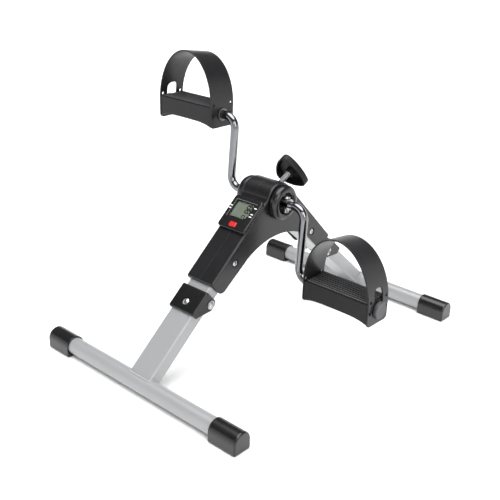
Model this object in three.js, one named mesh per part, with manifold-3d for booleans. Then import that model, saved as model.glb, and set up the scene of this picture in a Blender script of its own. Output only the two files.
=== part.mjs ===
// Folding pedal exerciser: two T-shaped legs hinged to a steel frame under a plastic housing, with a
// crankset, strapped pedals, a friction brake set by a knob, and a small revolution counter.
// Millimetres, +Z up. The user sits at -Y and looks along +Y; +X is the user's right hand.
// The origin is on the floor, midway between the two floor bars.
import * as THREE from "three";
import { mergeVertices } from "three/addons/utils/BufferGeometryUtils.js";
import Module from "manifold-3d";

const wasm = await Module();
wasm.setup();

// ---------------------------------------------------------------- driving dimensions
const rad = THREE.MathUtils.degToRad;
const fit = 0.3; // gap left between pieces that touch

// floor bars and their plastic feet
const barSpacing = 469; // between the two bars' axes, along Y
const barRadius = 12;
const barWall = 1.5;
const barLength = 356; // steel tube, without the feet
const footLength = 45;
const footEndWall = 6;
const footWall = 2.2;

// leg tubes, the same section for the legs and the frame
const tubeWidth = 40;
const tubeDepth = 20;
const tubeWall = 1.5;
const tubeCorner = 2.5;
const legAngle = rad(41);

// fold hinge of each leg, measured along the leg from the floor bar's axis
const pivotAlong = 136;
const pivotDrop = 5; // below the tube's centre line
const hingeBoltRadius = 3;
const hingeHeadRadius = 6.2;
const hingeHeadHeight = 3.6;
const legEndShort = 9; // the leg tube ends this far before the pivot
const frameEndShort = 6; // the frame tube starts this far before the pivot
const bracketWall = 1.2;
const bracketStart = 112;
const bracketReach = 7.5; // past the pivot
const coverWall = 2;
const coverStart = 108;
const coverReach = 9.5; // past the pivot
const coverScrewAlong = 122;

// crankset
const axleDrop = 5; // below the crossing of the two legs' centre lines
const axleAhead = 6; // ahead of the middle of the bars
const axleRadius = 8;
const crankThrow = 100;
const crankLean = rad(4.5); // rest position, from upright
const rodRadius = 6;
const rodBend = 16;
const armOffset = 70; // arm's plane, from the middle
const hubRadius = 25;
const hubGap = 1.4; // between the hub and the housing
const hubWidth = 11.6;
const hubRecessRadius = 14.5;
const hubRecessDepth = 8.6;

// housing
const housingWall = 2.5;
const housingSideRoom = 2.5; // between the tube's side and the housing's wall
const housingEnd = 155; // along the leg, from the bar's axis
const housingOver = 5.3; // its top above the tube
const housingUnder = 3; // its edge below the tube
const rearRise = 0.9; // the rear end stands this much higher
const crownRadius = 27;
const archDrop = 49.5; // the arch's top below the axle
const archRadius = 118;
const housingScrewPast = 46; // past the housing's end, along the leg

// counter
const consoleBelowAxle = 74.2; // its lower edge, along the front leg from the axle
const consoleLength = 52.7;
const consoleOverhang = 0.3; // past the housing on each side
const consoleRise = 5.6;
const windowHalf = 15.3;
const windowInset = 19.3; // from the console's lower edge
const windowLength = 25;
const buttonInset = 7.9; // from the console's lower edge to the button's middle
const buttonHalf = 6;
const buttonLength = 7.4;

// pedals
const strapInner = 96.5; // strap's two outer faces, from the middle
const strapOuter = 205.5;
const strapWidth = 46;
const strapThick = 2;
const strapRise = 83.5; // apex above the spindle, half-way across the strap
const strapTaper = 0.045; // the arch is this share higher at the heel's side and lower at the toe's
const strapLean = 3; // apex is this much nearer the machine
const strapDrop = 20.5; // outer plate's lower edge below the spindle
const strapInnerDrop = 18.5; // inner plate's
const strapSpring = 10; // the arch springs this far above the spindle
const deckHeight = 13; // above the spindle
const pedalDepth = 45;
const pedalBelow = 17;
const pedalArch = 5; // the walls' lower edge is this much higher in the middle
const pedalWall = 2.5;
const ribCount = 8;
const capRadius = 12;
const capThick = 5;

// brake
const brakeAngle = rad(28); // knob's axis above level
const drumRadius = 11.5;
const bearingBore = 12.2;
const bearingRadius = 15.5;
const brakeTravel = 1.5; // gap left between the pad and the drum
const padThick = 3;
const shoeLength = 4;
const shoeRadius = 5;
const bossRadius = 7;
const screwRadius = 3.8;
const knobClear = 25; // above the crown
const knobThick = 11;
const knobReach = 29; // centre to a corner
const knobCorner = 9;

// ---------------------------------------------------------------- sizes that follow from them
const tubeHalf = tubeWidth / 2;
const tubeTop = tubeDepth / 2;
const housingHalf = tubeHalf + housingSideRoom + housingWall;
const housingTop = tubeTop + housingOver;
const housingBelow = tubeTop + housingUnder;
const rearEndTop = housingTop + rearRise;
const housingScrewAlong = housingEnd + housingScrewPast;
const hubStart = housingHalf + hubGap;
const consoleHalf = housingHalf + consoleOverhang;
const consoleTop = housingTop + fit + consoleRise;
const knobStart = crownRadius + knobClear; // from the axle

// ---------------------------------------------------------------- colours and finishes
const finish = (color, roughness, metalness = 0) =>
  new THREE.MeshStandardMaterial({ color, roughness, metalness });
const finishes = {
  silver: finish(0xb9bbbf, 0.42, 0.35),
  black: finish(0x1d1e20, 0.45),
  satin: finish(0x2b2c2e, 0.55),
  strap: finish(0x2f3032, 0.5),
  chrome: finish(0xdfe2e6, 0.12, 1),
  zinc: finish(0xc4c7cb, 0.3, 1),
  steel: finish(0x8d9095, 0.4, 1),
  glass: finish(0x7d8274, 0.2),
  red: finish(0xd8322e, 0.4),
  green: finish(0x1f6a3c, 0.5),
  white: finish(0xe6e4dc, 0.5),
  felt: finish(0x5b4a3a, 0.9),
};

// ---------------------------------------------------------------- solids
const xAxis = new THREE.Vector3(1, 0, 0);

// The frame of a leg: its Y runs up the tube from the floor bar's axis, its Z is square to the tube.
const frontLeg = new THREE.Matrix4()
  .makeTranslation(0, -barSpacing / 2, barRadius + footWall)
  .multiply(new THREE.Matrix4().makeRotationX(legAngle));
const rearLeg = new THREE.Matrix4().makeRotationZ(Math.PI).multiply(frontLeg);

// The brake's frame: its Z runs out from the axle along the knob's axis, its X is the machine's.
const legCrossing = barRadius + footWall + (barSpacing / 2) * Math.tan(legAngle);
const axle = new THREE.Vector3(0, axleAhead, legCrossing - axleDrop);
const brakeFrame = new THREE.Matrix4()
  .makeTranslation(axle)
  .multiply(new THREE.Matrix4().makeRotationX(brakeAngle - Math.PI / 2));

// A closed geometry, moved by a matrix, as a manifold-3d solid. A mirroring matrix would leave the
// triangles facing in, so their order is turned round too.
function solid(geometry, matrix = new THREE.Matrix4()) {
  const bare = geometry.clone().applyMatrix4(matrix);
  bare.deleteAttribute("normal");
  bare.deleteAttribute("uv");
  const merged = mergeVertices(bare, 1e-4);
  const triVerts = new Uint32Array(merged.index.array);
  if (matrix.determinant() < 0) triVerts.reverse();
  return new wasm.Manifold(
    new wasm.Mesh({ numProp: 3, vertProperties: merged.attributes.position.array, triVerts }),
  );
}

// A manifold-3d solid as a geometry.
function geometryOf(body) {
  const mesh = body.getMesh();
  const geometry = new THREE.BufferGeometry();
  geometry.setAttribute("position", new THREE.BufferAttribute(mesh.vertProperties, 3));
  geometry.setIndex(new THREE.BufferAttribute(mesh.triVerts, 1));
  geometry.computeVertexNormals();
  return geometry;
}

const moved = (body, matrix) => solid(geometryOf(body), matrix);
const join = (...bodies) => bodies.reduce((whole, body) => whole.add(body));
const cut = (body, ...tools) => tools.reduce((whole, tool) => whole.subtract(tool), body);

// A box from its lowest to its highest corner.
function block(low, high, matrix) {
  const size = high.map((top, i) => top - low[i]);
  const centre = high.map((top, i) => (top + low[i]) / 2);
  return solid(new THREE.BoxGeometry(...size).translate(...centre), matrix);
}

// A round bar along X, from x0 to x1, about the line y, z.
function barX(radius, x0, x1, y = 0, z = 0, sides = 20, matrix) {
  const geometry = new THREE.CylinderGeometry(radius, radius, x1 - x0, sides);
  geometry.rotateZ(-Math.PI / 2).translate((x0 + x1) / 2, y, z);
  return solid(geometry, matrix);
}

// A round bar along Z, from z0 to z1, about the line x, y.
function barZ(radius, z0, z1, x = 0, y = 0, sides = 16, matrix) {
  const geometry = new THREE.CylinderGeometry(radius, radius, z1 - z0, sides);
  geometry.rotateX(Math.PI / 2).translate(x, y, (z0 + z1) / 2);
  return solid(geometry, matrix);
}

// A turned piece: [radius, height] pairs from axis to axis, turned about Z.
function turned(profile, sides = 24, matrix) {
  const points = profile.map(([r, h]) => new THREE.Vector2(r, h));
  return solid(new THREE.LatheGeometry(points, sides).rotateX(Math.PI / 2), matrix);
}

// A Y-Z outline carried along X from x0 to x1.
function carriedX(shape, x0, x1, matrix, curveSegments = 6) {
  const geometry = new THREE.ExtrudeGeometry(shape, { depth: x1 - x0, bevelEnabled: false, curveSegments });
  const place = new THREE.Matrix4().makeBasis(
    new THREE.Vector3(0, 1, 0),
    new THREE.Vector3(0, 0, 1),
    xAxis,
  );
  place.setPosition(x0, 0, 0);
  return solid(geometry.applyMatrix4(place), matrix);
}

// An X-Z outline carried along Y from y0 to y1, with its heights changed by rise(y, z) if one is given.
function carriedY(shape, y0, y1, rise) {
  const geometry = new THREE.ExtrudeGeometry(shape, { depth: y1 - y0, bevelEnabled: false });
  geometry.rotateX(Math.PI / 2).translate(0, y1, 0);
  if (rise) {
    const at = geometry.attributes.position;
    for (let i = 0; i < at.count; i++) at.setZ(i, rise(at.getY(i), at.getZ(i)));
  }
  return solid(geometry);
}

// An X-Y outline carried along Z from z0 to z1.
function carriedZ(shape, z0, z1, matrix, curveSegments = 6) {
  const geometry = new THREE.ExtrudeGeometry(shape, { depth: z1 - z0, bevelEnabled: false, curveSegments });
  return solid(geometry.translate(0, 0, z0), matrix);
}

// An outline through corners [x, y, radius], each rounded by its radius with an arc of a few chords.
function rounded(corners, chords = 4) {
  const points = [];
  corners.forEach(([x, y, radius = 0], i) => {
    const here = new THREE.Vector2(x, y);
    if (!radius) {
      points.push(here);
      return;
    }
    const before = corners[(i + corners.length - 1) % corners.length];
    const after = corners[(i + 1) % corners.length];
    const toBefore = new THREE.Vector2(before[0] - x, before[1] - y).normalize();
    const toAfter = new THREE.Vector2(after[0] - x, after[1] - y).normalize();
    const half = Math.acos(THREE.MathUtils.clamp(toBefore.dot(toAfter), -1, 1)) / 2;
    const run = radius / Math.tan(half);
    const start = here.clone().addScaledVector(toBefore, run);
    const end = here.clone().addScaledVector(toAfter, run);
    const centre = here
      .clone()
      .addScaledVector(toBefore.clone().add(toAfter).normalize(), radius / Math.sin(half));
    const from = Math.atan2(start.y - centre.y, start.x - centre.x);
    let sweep = Math.atan2(end.y - centre.y, end.x - centre.x) - from;
    if (sweep > Math.PI) sweep -= 2 * Math.PI;
    if (sweep < -Math.PI) sweep += 2 * Math.PI;
    for (let k = 0; k <= chords; k++) {
      const angle = from + (sweep * k) / chords;
      points.push(new THREE.Vector2(centre.x + radius * Math.cos(angle), centre.y + radius * Math.sin(angle)));
    }
  });
  return new THREE.Shape(points);
}

// A rectangle with rounded corners, centred on x, y.
const rectangle = (width, height, radius, x = 0, y = 0) =>
  rounded(
    [
      [x - width / 2, y - height / 2, radius],
      [x + width / 2, y - height / 2, radius],
      [x + width / 2, y + height / 2, radius],
      [x - width / 2, y + height / 2, radius],
    ],
    2,
  );

// A bar of the tube's section along a leg's Y, from s0 to s1.
function tubeBar(width, depth, corner, s0, s1, matrix) {
  const geometry = new THREE.ExtrudeGeometry(rectangle(width, depth, corner), {
    depth: s1 - s0,
    bevelEnabled: false,
  });
  return solid(geometry.rotateX(-Math.PI / 2).translate(0, s0, 0), matrix);
}

// ---------------------------------------------------------------- scene graph
const exerciser = new THREE.Group();

function place(name, body, look, parent = exerciser) {
  const mesh = new THREE.Mesh(geometryOf(body), finishes[look]);
  mesh.name = name;
  parent.add(mesh);
  return mesh;
}

function groupAt(matrix, parent = exerciser) {
  const group = new THREE.Group();
  group.applyMatrix4(matrix);
  parent.add(group);
  return group;
}

// ---------------------------------------------------------------- legs
const bracketInside = tubeHalf + fit;
const bracketOutside = bracketInside + bracketWall;
const bracketCeiling = tubeTop + fit;
const coverInside = bracketOutside + fit;
const coverOutside = coverInside + coverWall;
const coverCeiling = bracketCeiling + bracketWall + fit;
const coverRoof = coverCeiling + coverWall;
const holeRadius = hingeBoltRadius + fit;

// The side outline shared by the hinge bracket and its cover: deep round the pivot, shallow at the foot.
function earOutline(start, reach, roof, toe) {
  const end = pivotAlong + reach;
  return rounded([
    [start, toe, 2],
    [pivotAlong - 5, -pivotDrop - reach, reach * 0.55],
    [end, -pivotDrop - reach, reach * 0.8],
    [end, roof, 3],
    [start, roof, 2],
  ]);
}

// Floor bar, leg tube and hinge bracket, welded into one piece.
function legWeldment() {
  const legEnd = pivotAlong - legEndShort;
  const bar = barX(barRadius, -barLength / 2, barLength / 2);
  const tube = tubeBar(tubeWidth, tubeDepth, tubeCorner, 0, legEnd);
  const bracket = cut(
    carriedX(
      earOutline(bracketStart, bracketReach, bracketCeiling + bracketWall, 2),
      -bracketOutside,
      bracketOutside,
    ),
    block([-bracketInside, 0, -50], [bracketInside, 200, bracketCeiling]),
    barX(holeRadius, -50, 50, pivotAlong, -pivotDrop, 12),
  );
  const weld = tubeBar(
    2 * bracketInside + 0.2,
    2 * bracketCeiling + 0.2,
    tubeCorner,
    bracketStart + 2,
    legEnd - 3,
  );
  const hollow = tubeBar(
    tubeWidth - 2 * tubeWall,
    tubeDepth - 2 * tubeWall,
    tubeCorner - tubeWall,
    barRadius + 1,
    legEnd + 10,
  );
  return cut(
    join(bar, tube, weld, bracket),
    barX(barRadius - barWall, -barLength, barLength),
    hollow,
    barZ(2 + fit, 0, 30, 0, coverScrewAlong, 12),
  );
}

function hingeCover() {
  const outline = earOutline(coverStart, coverReach, coverRoof, 3);
  return cut(
    carriedX(outline, -coverOutside, coverOutside),
    block([-coverInside, 0, -50], [coverInside, 200, coverCeiling]),
    barX(holeRadius, -50, 50, pivotAlong, -pivotDrop, 12),
    barZ(2 + fit, 0, 30, 0, coverScrewAlong, 12),
  );
}

// Half-round foot with a flat sole and a blind socket for the bar; it points along +X.
function foot() {
  const inner = barLength / 2 - footLength + footEndWall;
  const outer = inner + footLength;
  const radius = barRadius + footWall;
  const profile = new THREE.Shape();
  profile.absarc(0, 0, radius, 0, Math.PI, false);
  profile.lineTo(-radius, -radius + 1.5);
  profile.lineTo(-radius + 1.5, -radius);
  profile.lineTo(radius - 1.5, -radius);
  profile.lineTo(radius, -radius + 1.5);
  return cut(
    carriedX(profile, inner, outer, undefined, 10),
    barX(barRadius + fit, inner - 1, barLength / 2 + fit),
  );
}

// A pan-head screw along Z: its head's underside is at 0 and its shank runs down.
function screw(headRadius, headHeight, shankRadius, shankLength, matrix) {
  const head = [
    [0, 0],
    [headRadius, 0],
    [headRadius, headHeight * 0.5],
    [headRadius * 0.6, headHeight],
    [0, headHeight],
  ];
  return join(
    turned(head, 12, matrix),
    barZ(shankRadius, -shankLength, headHeight / 4, 0, 0, 8, matrix),
  );
}

// Turns Z to X, and moves along X.
const alongX = (x, y = 0, z = 0) =>
  new THREE.Matrix4().makeTranslation(x, y, z).multiply(new THREE.Matrix4().makeRotationY(Math.PI / 2));

// The hinge's bolt with its round head on the +X side, and its nut.
function hingeBolt() {
  const seat = coverOutside + fit;
  return screw(
    hingeHeadRadius,
    hingeHeadHeight,
    hingeBoltRadius,
    2 * seat + hingeHeadHeight,
    alongX(seat, pivotAlong, -pivotDrop),
  );
}

function hingeNut() {
  const seat = -coverOutside - fit;
  return cut(
    barX(hingeHeadRadius - 0.8, seat - hingeHeadHeight, seat, pivotAlong, -pivotDrop, 6),
    barX(hingeBoltRadius + fit, -50, 0, pivotAlong, -pivotDrop, 12),
  );
}

const coverScrew = () =>
  screw(4.6, 2.6, 2, 9, new THREE.Matrix4().makeTranslation(0, coverScrewAlong, coverRoof + fit));

// A leg with all that turns with it. The bolt's head is on the machine's right on both legs.
function leg(side, frame, boltTurn) {
  const group = groupAt(frame);
  place(`${side}_leg`, legWeldment(), "silver", group);
  place(`${side}_hinge_cover`, hingeCover(), "black", group);
  place(`${side}_cover_screw`, coverScrew(), "zinc", group);
  const hinge = new THREE.Group();
  hinge.scale.x = boltTurn;
  group.add(hinge);
  place(`${side}_hinge_bolt`, hingeBolt(), "zinc", hinge);
  place(`${side}_hinge_nut`, hingeNut(), "zinc", hinge);
  for (const [hand, sign] of [
    ["left", -boltTurn],
    ["right", boltTurn],
  ]) {
    // the floor bar's feet stay square to the floor
    const level = new THREE.Group();
    level.rotation.set(-legAngle, 0, 0);
    group.add(level);
    const turn = new THREE.Group();
    turn.rotation.z = sign > 0 ? 0 : Math.PI;
    level.add(turn);
    place(`${side}_${hand}_foot`, foot(), "black", turn);
  }
}

leg("front", frontLeg, 1);
leg("rear", rearLeg, -1);

// ---------------------------------------------------------------- frame
const frameStart = pivotAlong - frameEndShort;
// the brake's boss stops short of the housing's crown
const bossEnd = Math.sqrt((crownRadius - housingWall - fit) ** 2 - bossRadius ** 2);
const onBrake = (body) => moved(body, brakeFrame);

function frameTube(matrix) {
  const past = 400;
  const outer = tubeBar(tubeWidth, tubeDepth, tubeCorner, frameStart, past, matrix);
  const inner = tubeBar(
    tubeWidth - 2 * tubeWall,
    tubeDepth - 2 * tubeWall,
    tubeCorner - tubeWall,
    frameStart - 1,
    past,
    matrix,
  );
  const hole = barX(holeRadius, -50, 50, pivotAlong, -pivotDrop, 12, matrix);
  // the upper corner is cut back so that the bracket's roof swings past it
  const nose = carriedX(
    rounded([
      [pivotAlong - 1.5, tubeTop + 1],
      [frameStart - 1, tubeTop + 1],
      [frameStart - 1, tubeTop - frameEndShort + 1],
      [pivotAlong - 1.5, tubeTop],
    ]),
    -50,
    50,
    matrix,
  );
  const screwHoles = barX(2.1, -50, 50, housingScrewAlong, 0, 12, matrix);
  return { outer, inner, holes: join(hole, screwHoles, nose) };
}

// Two mitred tubes, the bearing shell and the brake's boss, welded into one frame.
function mainFrame() {
  const front = frameTube(frontLeg);
  const rear = frameTube(rearLeg);
  const ahead = block([-100, 0, 0], [100, 500, 500]);
  const behind = block([-100, -500, 0], [100, 0, 500]);
  const inFront = (body) => body.subtract(ahead);
  const inRear = (body) => body.subtract(behind);
  const tubes = join(inFront(front.outer), inRear(rear.outer));
  const hollow = join(inFront(front.inner), inRear(rear.inner));
  const shell = barX(bearingRadius, -tubeHalf - 1, tubeHalf + 1, axle.y, axle.z);
  const boss = onBrake(barZ(bossRadius, 8, bossEnd));
  const bore = barX(bearingBore, -50, 50, axle.y, axle.z);
  const guide = onBrake(barZ(shoeRadius + fit, 0, drumRadius + brakeTravel + padThick + shoeLength + 2.8));
  const thread = onBrake(barZ(screwRadius + fit, 0, bossEnd + 5));
  return cut(join(tubes.subtract(hollow), shell, boss), bore, guide, thread, front.holes, rear.holes);
}

place("main_frame", mainFrame(), "silver");

// ---------------------------------------------------------------- housing
const axleAlong = axle.clone().applyMatrix4(frontLeg.clone().invert()).y;
const consoleStart = axleAlong - consoleBelowAxle;
const windowStart = consoleStart + windowInset;
const buttonAlong = consoleStart + buttonInset;
const onLeg = (frame, along, above) => new THREE.Vector3(0, along, above).applyMatrix4(frame);

// Side outline of the housing: two legs, a round crown about the axle and an arch underneath.
function housingOutline(inset = 0, open = 0) {
  const corner = (frame, along, above, radius) => {
    const point = onLeg(frame, along, above);
    return [point.y, point.z, radius];
  };
  const end = housingEnd + inset;
  const below = -housingBelow - open;
  const crown = crownRadius - inset;
  const seatEnd = consoleStart + consoleLength + fit + 0.3 + inset;
  // the crown leaves the console's seat and meets the rear slope at a tangent
  const rearTop = onLeg(rearLeg, end, rearEndTop - inset);
  const toRear = new THREE.Vector2(rearTop.y - axle.y, rearTop.z - axle.z);
  const rearAngle = Math.atan2(toRear.y, toRear.x) + Math.acos(crown / toRear.length());
  const frontStep = onLeg(frontLeg, seatEnd, housingTop - inset);
  const frontAngle = Math.PI / 2 + legAngle + Math.asin(14 / crown);
  const crownArc = [];
  const chords = 12;
  for (let k = 0; k <= chords; k++) {
    const angle = rearAngle + ((frontAngle - rearAngle) * k) / chords;
    crownArc.push([axle.y + crown * Math.cos(angle), axle.z + crown * Math.sin(angle)]);
  }
  // the arch is a circle that both lower edges run into
  const archCentre = axle.z - archDrop - archRadius - open;
  const archArc = [];
  const spread = 0.58;
  for (let k = 0; k <= 10; k++) {
    const angle = Math.PI / 2 + spread - (2 * spread * k) / 10;
    archArc.push([axle.y + archRadius * Math.cos(angle), archCentre + (archRadius + inset) * Math.sin(angle)]);
  }
  const frontLow = corner(frontLeg, end, below, open ? 0 : 10);
  const rearLow = corner(rearLeg, end, below, open ? 0 : 10);
  return rounded([
    corner(frontLeg, end, housingTop - inset, open ? 0 : 2.5),
    frontLow,
    ...archArc,
    rearLow,
    corner(rearLeg, end, rearEndTop - inset, open ? 0 : 2.5),
    ...crownArc,
    [frontStep.y, frontStep.z],
  ]);
}

// The frame of the rear leg with its X left as the machine's, for what is drawn on one hand only.
const rearMirrored = new THREE.Matrix4().makeScale(1, -1, 1).multiply(frontLeg);

// The right half of the housing, open underneath.
function housingShell() {
  const shell = carriedX(housingOutline(), fit / 2, housingHalf);
  const room = carriedX(housingOutline(housingWall, 8), -1, housingHalf - housingWall);
  const ends = [frontLeg, rearMirrored];
  const screwSeats = ends.map((frame) =>
    barX(6, tubeHalf + fit, housingHalf - 1, housingScrewAlong, 0, 12, frame),
  );
  const recesses = ends.map((frame) =>
    join(
      barX(4.8, housingHalf - 2, 50, housingScrewAlong, 0, 16, frame),
      barX(2.2, 0, 50, housingScrewAlong, 0, 12, frame),
    ),
  );
  const opening = block(
    [-1, consoleStart + 4, 0],
    [consoleHalf - 7.3, consoleStart + consoleLength - 4, 30],
    frontLeg,
  );
  const stem = onBrake(barZ(screwRadius + 1.2, 10, 40, 0, 0, 16));
  const axleHole = barX(axleRadius + 1.5, -50, 50, axle.y, axle.z);
  const tubes = ends.map((frame) =>
    tubeBar(tubeWidth + 2 * fit, tubeDepth + 2 * fit, tubeCorner, 0, housingEnd + 20, frame),
  );
  return cut(join(shell.subtract(room), ...screwSeats), ...recesses, ...tubes, opening, stem, axleHole);
}

place("housing_right", housingShell(), "satin");
place("housing_left", moved(housingShell(), new THREE.Matrix4().makeScale(-1, 1, 1)), "satin");

for (const [end, frame] of [
  ["front", frontLeg],
  ["rear", rearLeg],
]) {
  const at = onLeg(frame, housingScrewAlong, 0);
  for (const [hand, sign] of [
    ["right", 1],
    ["left", -1],
  ]) {
    const body = screw(3.9, 2.2, 1.8, 6.5, alongX(0));
    const mesh = place(`housing_screw_${end}_${hand}`, body, "zinc");
    mesh.position.set(sign * (housingHalf - 2 + fit), at.y, at.z);
    mesh.rotation.y = sign > 0 ? 0 : Math.PI;
  }
}

// ---------------------------------------------------------------- counter
const consoleGroup = groupAt(frontLeg);
const consoleEnd = consoleStart + consoleLength;
const consoleSeat = housingTop + fit;
const consoleMiddle = consoleStart + consoleLength / 2;

const consoleOutline = (inset, radius) =>
  rectangle(2 * (consoleHalf - inset), consoleLength - 2 * inset, radius, 0, consoleMiddle);

function consoleCase() {
  return cut(
    carriedZ(consoleOutline(0, 4), consoleSeat, consoleTop),
    carriedZ(consoleOutline(2, 2.5), consoleSeat - 1, consoleTop - 1.8),
    block([-windowHalf, windowStart, 0], [windowHalf, windowStart + windowLength, 40]),
    block(
      [-buttonHalf - fit, buttonAlong - buttonLength / 2 - fit, 0],
      [buttonHalf + fit, buttonAlong + buttonLength / 2 + fit, 40],
    ),
  );
}

const baseHalf = consoleHalf - 8.3;
const baseFloor = tubeTop + 0.8;
const baseRim = consoleSeat + 0.2;

function consoleBase() {
  const low = consoleStart + 5;
  const high = consoleEnd - 5;
  return cut(
    block([-baseHalf, low, baseFloor], [baseHalf, high, baseRim]),
    block([-baseHalf + 1.2, low + 1.2, baseFloor + 1], [baseHalf - 1.2, high - 1.2, baseRim + 1]),
  );
}

const batteryRadius = 5.8;
const batteryAlong = consoleStart + 13;
const boardLevel = baseRim + 0.3;
place("console_case", consoleCase(), "black", consoleGroup);
place("console_base", consoleBase(), "black", consoleGroup);
place(
  "console_board",
  block([-21, consoleStart + 4, boardLevel], [21, consoleEnd - 4, boardLevel + 1]),
  "green",
  consoleGroup,
);
place(
  "console_battery",
  barZ(batteryRadius, baseFloor + 1.3, baseRim, 0, batteryAlong, 16),
  "steel",
  consoleGroup,
);
place(
  "console_display",
  block(
    [-windowHalf - 1.5, windowStart - 1.5, boardLevel + 1.3],
    [windowHalf + 1.5, windowStart + windowLength + 1.5, consoleTop - 2.1],
  ),
  "glass",
  consoleGroup,
);
place(
  "console_window",
  block(
    [-windowHalf + fit, windowStart + fit, consoleTop - 1.8],
    [windowHalf - fit, windowStart + windowLength - fit, consoleTop - 0.5],
  ),
  "glass",
  consoleGroup,
);
place(
  "console_button",
  join(
    block(
      [-buttonHalf, buttonAlong - buttonLength / 2, boardLevel + 2.2],
      [buttonHalf, buttonAlong + buttonLength / 2, consoleTop + 1],
    ),
    block(
      [-buttonHalf - 1, buttonAlong - buttonLength / 2 - 0.8, boardLevel + 2.2],
      [buttonHalf + 1, buttonAlong + buttonLength / 2 + 0.8, boardLevel + 2.7],
    ),
  ),
  "red",
  consoleGroup,
);

// ---------------------------------------------------------------- crankset
const crankset = new THREE.Group();
crankset.position.copy(axle);
crankset.rotation.x = -crankLean;
exerciser.add(crankset);

// The path of a bent rod: corners joined by straight runs and round bends, one station per chord.
class RodPath extends THREE.Curve {
  constructor(corners, bend, chords) {
    super();
    this.stations = [];
    corners.forEach((corner, i) => {
      if (i === 0 || i === corners.length - 1) {
        this.stations.push(corner.clone());
        return;
      }
      const back = corners[i - 1].clone().sub(corner).normalize();
      const on = corners[i + 1].clone().sub(corner).normalize();
      const centre = corner.clone().addScaledVector(back, bend).addScaledVector(on, bend);
      for (let k = 0; k <= chords; k++) {
        const angle = ((Math.PI / 2) * k) / chords;
        this.stations.push(
          centre
            .clone()
            .addScaledVector(on, -bend * Math.cos(angle))
            .addScaledVector(back, -bend * Math.sin(angle)),
        );
      }
    });
  }

  getPoint(t, target = new THREE.Vector3()) {
    const at = t * (this.stations.length - 1);
    const before = Math.min(Math.floor(at), this.stations.length - 2);
    return target.lerpVectors(this.stations[before], this.stations[before + 1], at - before);
  }

  getTangent(t, target = new THREE.Vector3()) {
    const last = this.stations.length - 1;
    const at = Math.round(t * last);
    const before = this.stations[Math.max(at - 1, 0)];
    const after = this.stations[Math.min(at + 1, last)];
    const here = this.stations[at];
    const incoming = here.clone().sub(before).normalize();
    const outgoing = after.clone().sub(here).normalize();
    return target.addVectors(incoming, outgoing).normalize();
  }

  getPointAt(u, target) {
    return this.getPoint(u, target);
  }

  getTangentAt(u, target) {
    return this.getTangent(u, target);
  }
}

const spindleEnd = strapOuter + 0.5;
const tongueStart = hubStart + 4.6;
const tongueEnd = tongueStart + 13;
const tongueThick = 6;
const tongueHalf = 7;
const crankBoltAt = tongueStart + 5.5;

// Crank rod: a flat tongue in the axle's slot, two right-angle bends and the pedal's spindle.
function crankRod() {
  const corners = [
    new THREE.Vector3(tongueEnd - 1, 0, 0),
    new THREE.Vector3(armOffset, 0, 0),
    new THREE.Vector3(armOffset, 0, -crankThrow),
    new THREE.Vector3(spindleEnd, 0, -crankThrow),
  ];
  const path = new RodPath(corners, rodBend, 5);
  const circle = [];
  for (let k = 0; k < 12; k++) {
    const angle = (2 * Math.PI * k) / 12;
    circle.push(new THREE.Vector2(rodRadius * Math.cos(angle), rodRadius * Math.sin(angle)));
  }
  const rod = new THREE.ExtrudeGeometry(new THREE.Shape(circle), {
    extrudePath: path,
    steps: path.stations.length - 1,
    bevelEnabled: false,
  });
  const tongue = block([tongueStart, -tongueHalf, -tongueThick / 2], [tongueEnd + 1, tongueHalf, tongueThick / 2]);
  return cut(join(solid(rod), tongue), barZ(3 + fit, -20, 20, crankBoltAt, 0, 12));
}

// Axle with a slot across each end for the cranks' tongues.
function axleShaft() {
  const end = tongueEnd - 1;
  const slotFloor = tongueStart - 1;
  const cutters = [1, -1].flatMap((sign) => {
    const near = Math.min(sign * slotFloor, sign * (end + 5));
    const far = Math.max(sign * slotFloor, sign * (end + 5));
    return [
      block([near, -20, -tongueThick / 2 - fit], [far, 20, tongueThick / 2 + fit]),
      barZ(3 + fit, -20, 20, sign * crankBoltAt, 0, 12),
    ];
  });
  return cut(barX(axleRadius, -end, end), ...cutters);
}

const drumHalf = 8;
const bushStart = 11;

function brakeDrum() {
  return cut(barX(drumRadius, -drumHalf, drumHalf), barX(axleRadius + fit, -50, 50));
}

// Flanged plastic bush; it points along +X.
function bush() {
  const flangeStart = tubeHalf + 1 + fit;
  return cut(
    join(
      barX(bearingBore - fit, bushStart, flangeStart + 0.2),
      barX(bearingBore + 1.5, flangeStart, flangeStart + 0.9),
    ),
    barX(axleRadius + fit, 0, 50),
  );
}

// Crank hub: a thick round disc with a soft rim and a recess for the axle's end; it points along +X.
function crankHub() {
  const bore = axleRadius + fit;
  const floor = hubWidth - hubRecessDepth;
  const profile = [
    [bore, 0],
    [hubRadius, 0],
    [hubRadius, hubWidth - 5],
    [hubRadius - 1.5, hubWidth - 1.7],
    [hubRadius - 5, hubWidth],
    [hubRecessRadius, hubWidth - 1],
    [hubRecessRadius, floor],
    [bore, floor],
    [bore, 0],
  ];
  const disc = turned(profile, 28, alongX(hubStart));
  return disc.subtract(barX(magnetRadius + fit, 0, hubStart + 1.9, 0, -magnetAt, 12));
}

const magnetAt = 20;
const magnetRadius = 2.5;

function crankBolt() {
  return screw(4.8, 3, 3, 2 * axleRadius + 5, new THREE.Matrix4().makeTranslation(crankBoltAt, 0, axleRadius + 0.4));
}

function crankNut() {
  return cut(
    barZ(5, -axleRadius - 4.2, -axleRadius - 0.4, crankBoltAt, 0, 6),
    barZ(3 + fit, -20, 0, crankBoltAt, 0, 12),
  );
}

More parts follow.
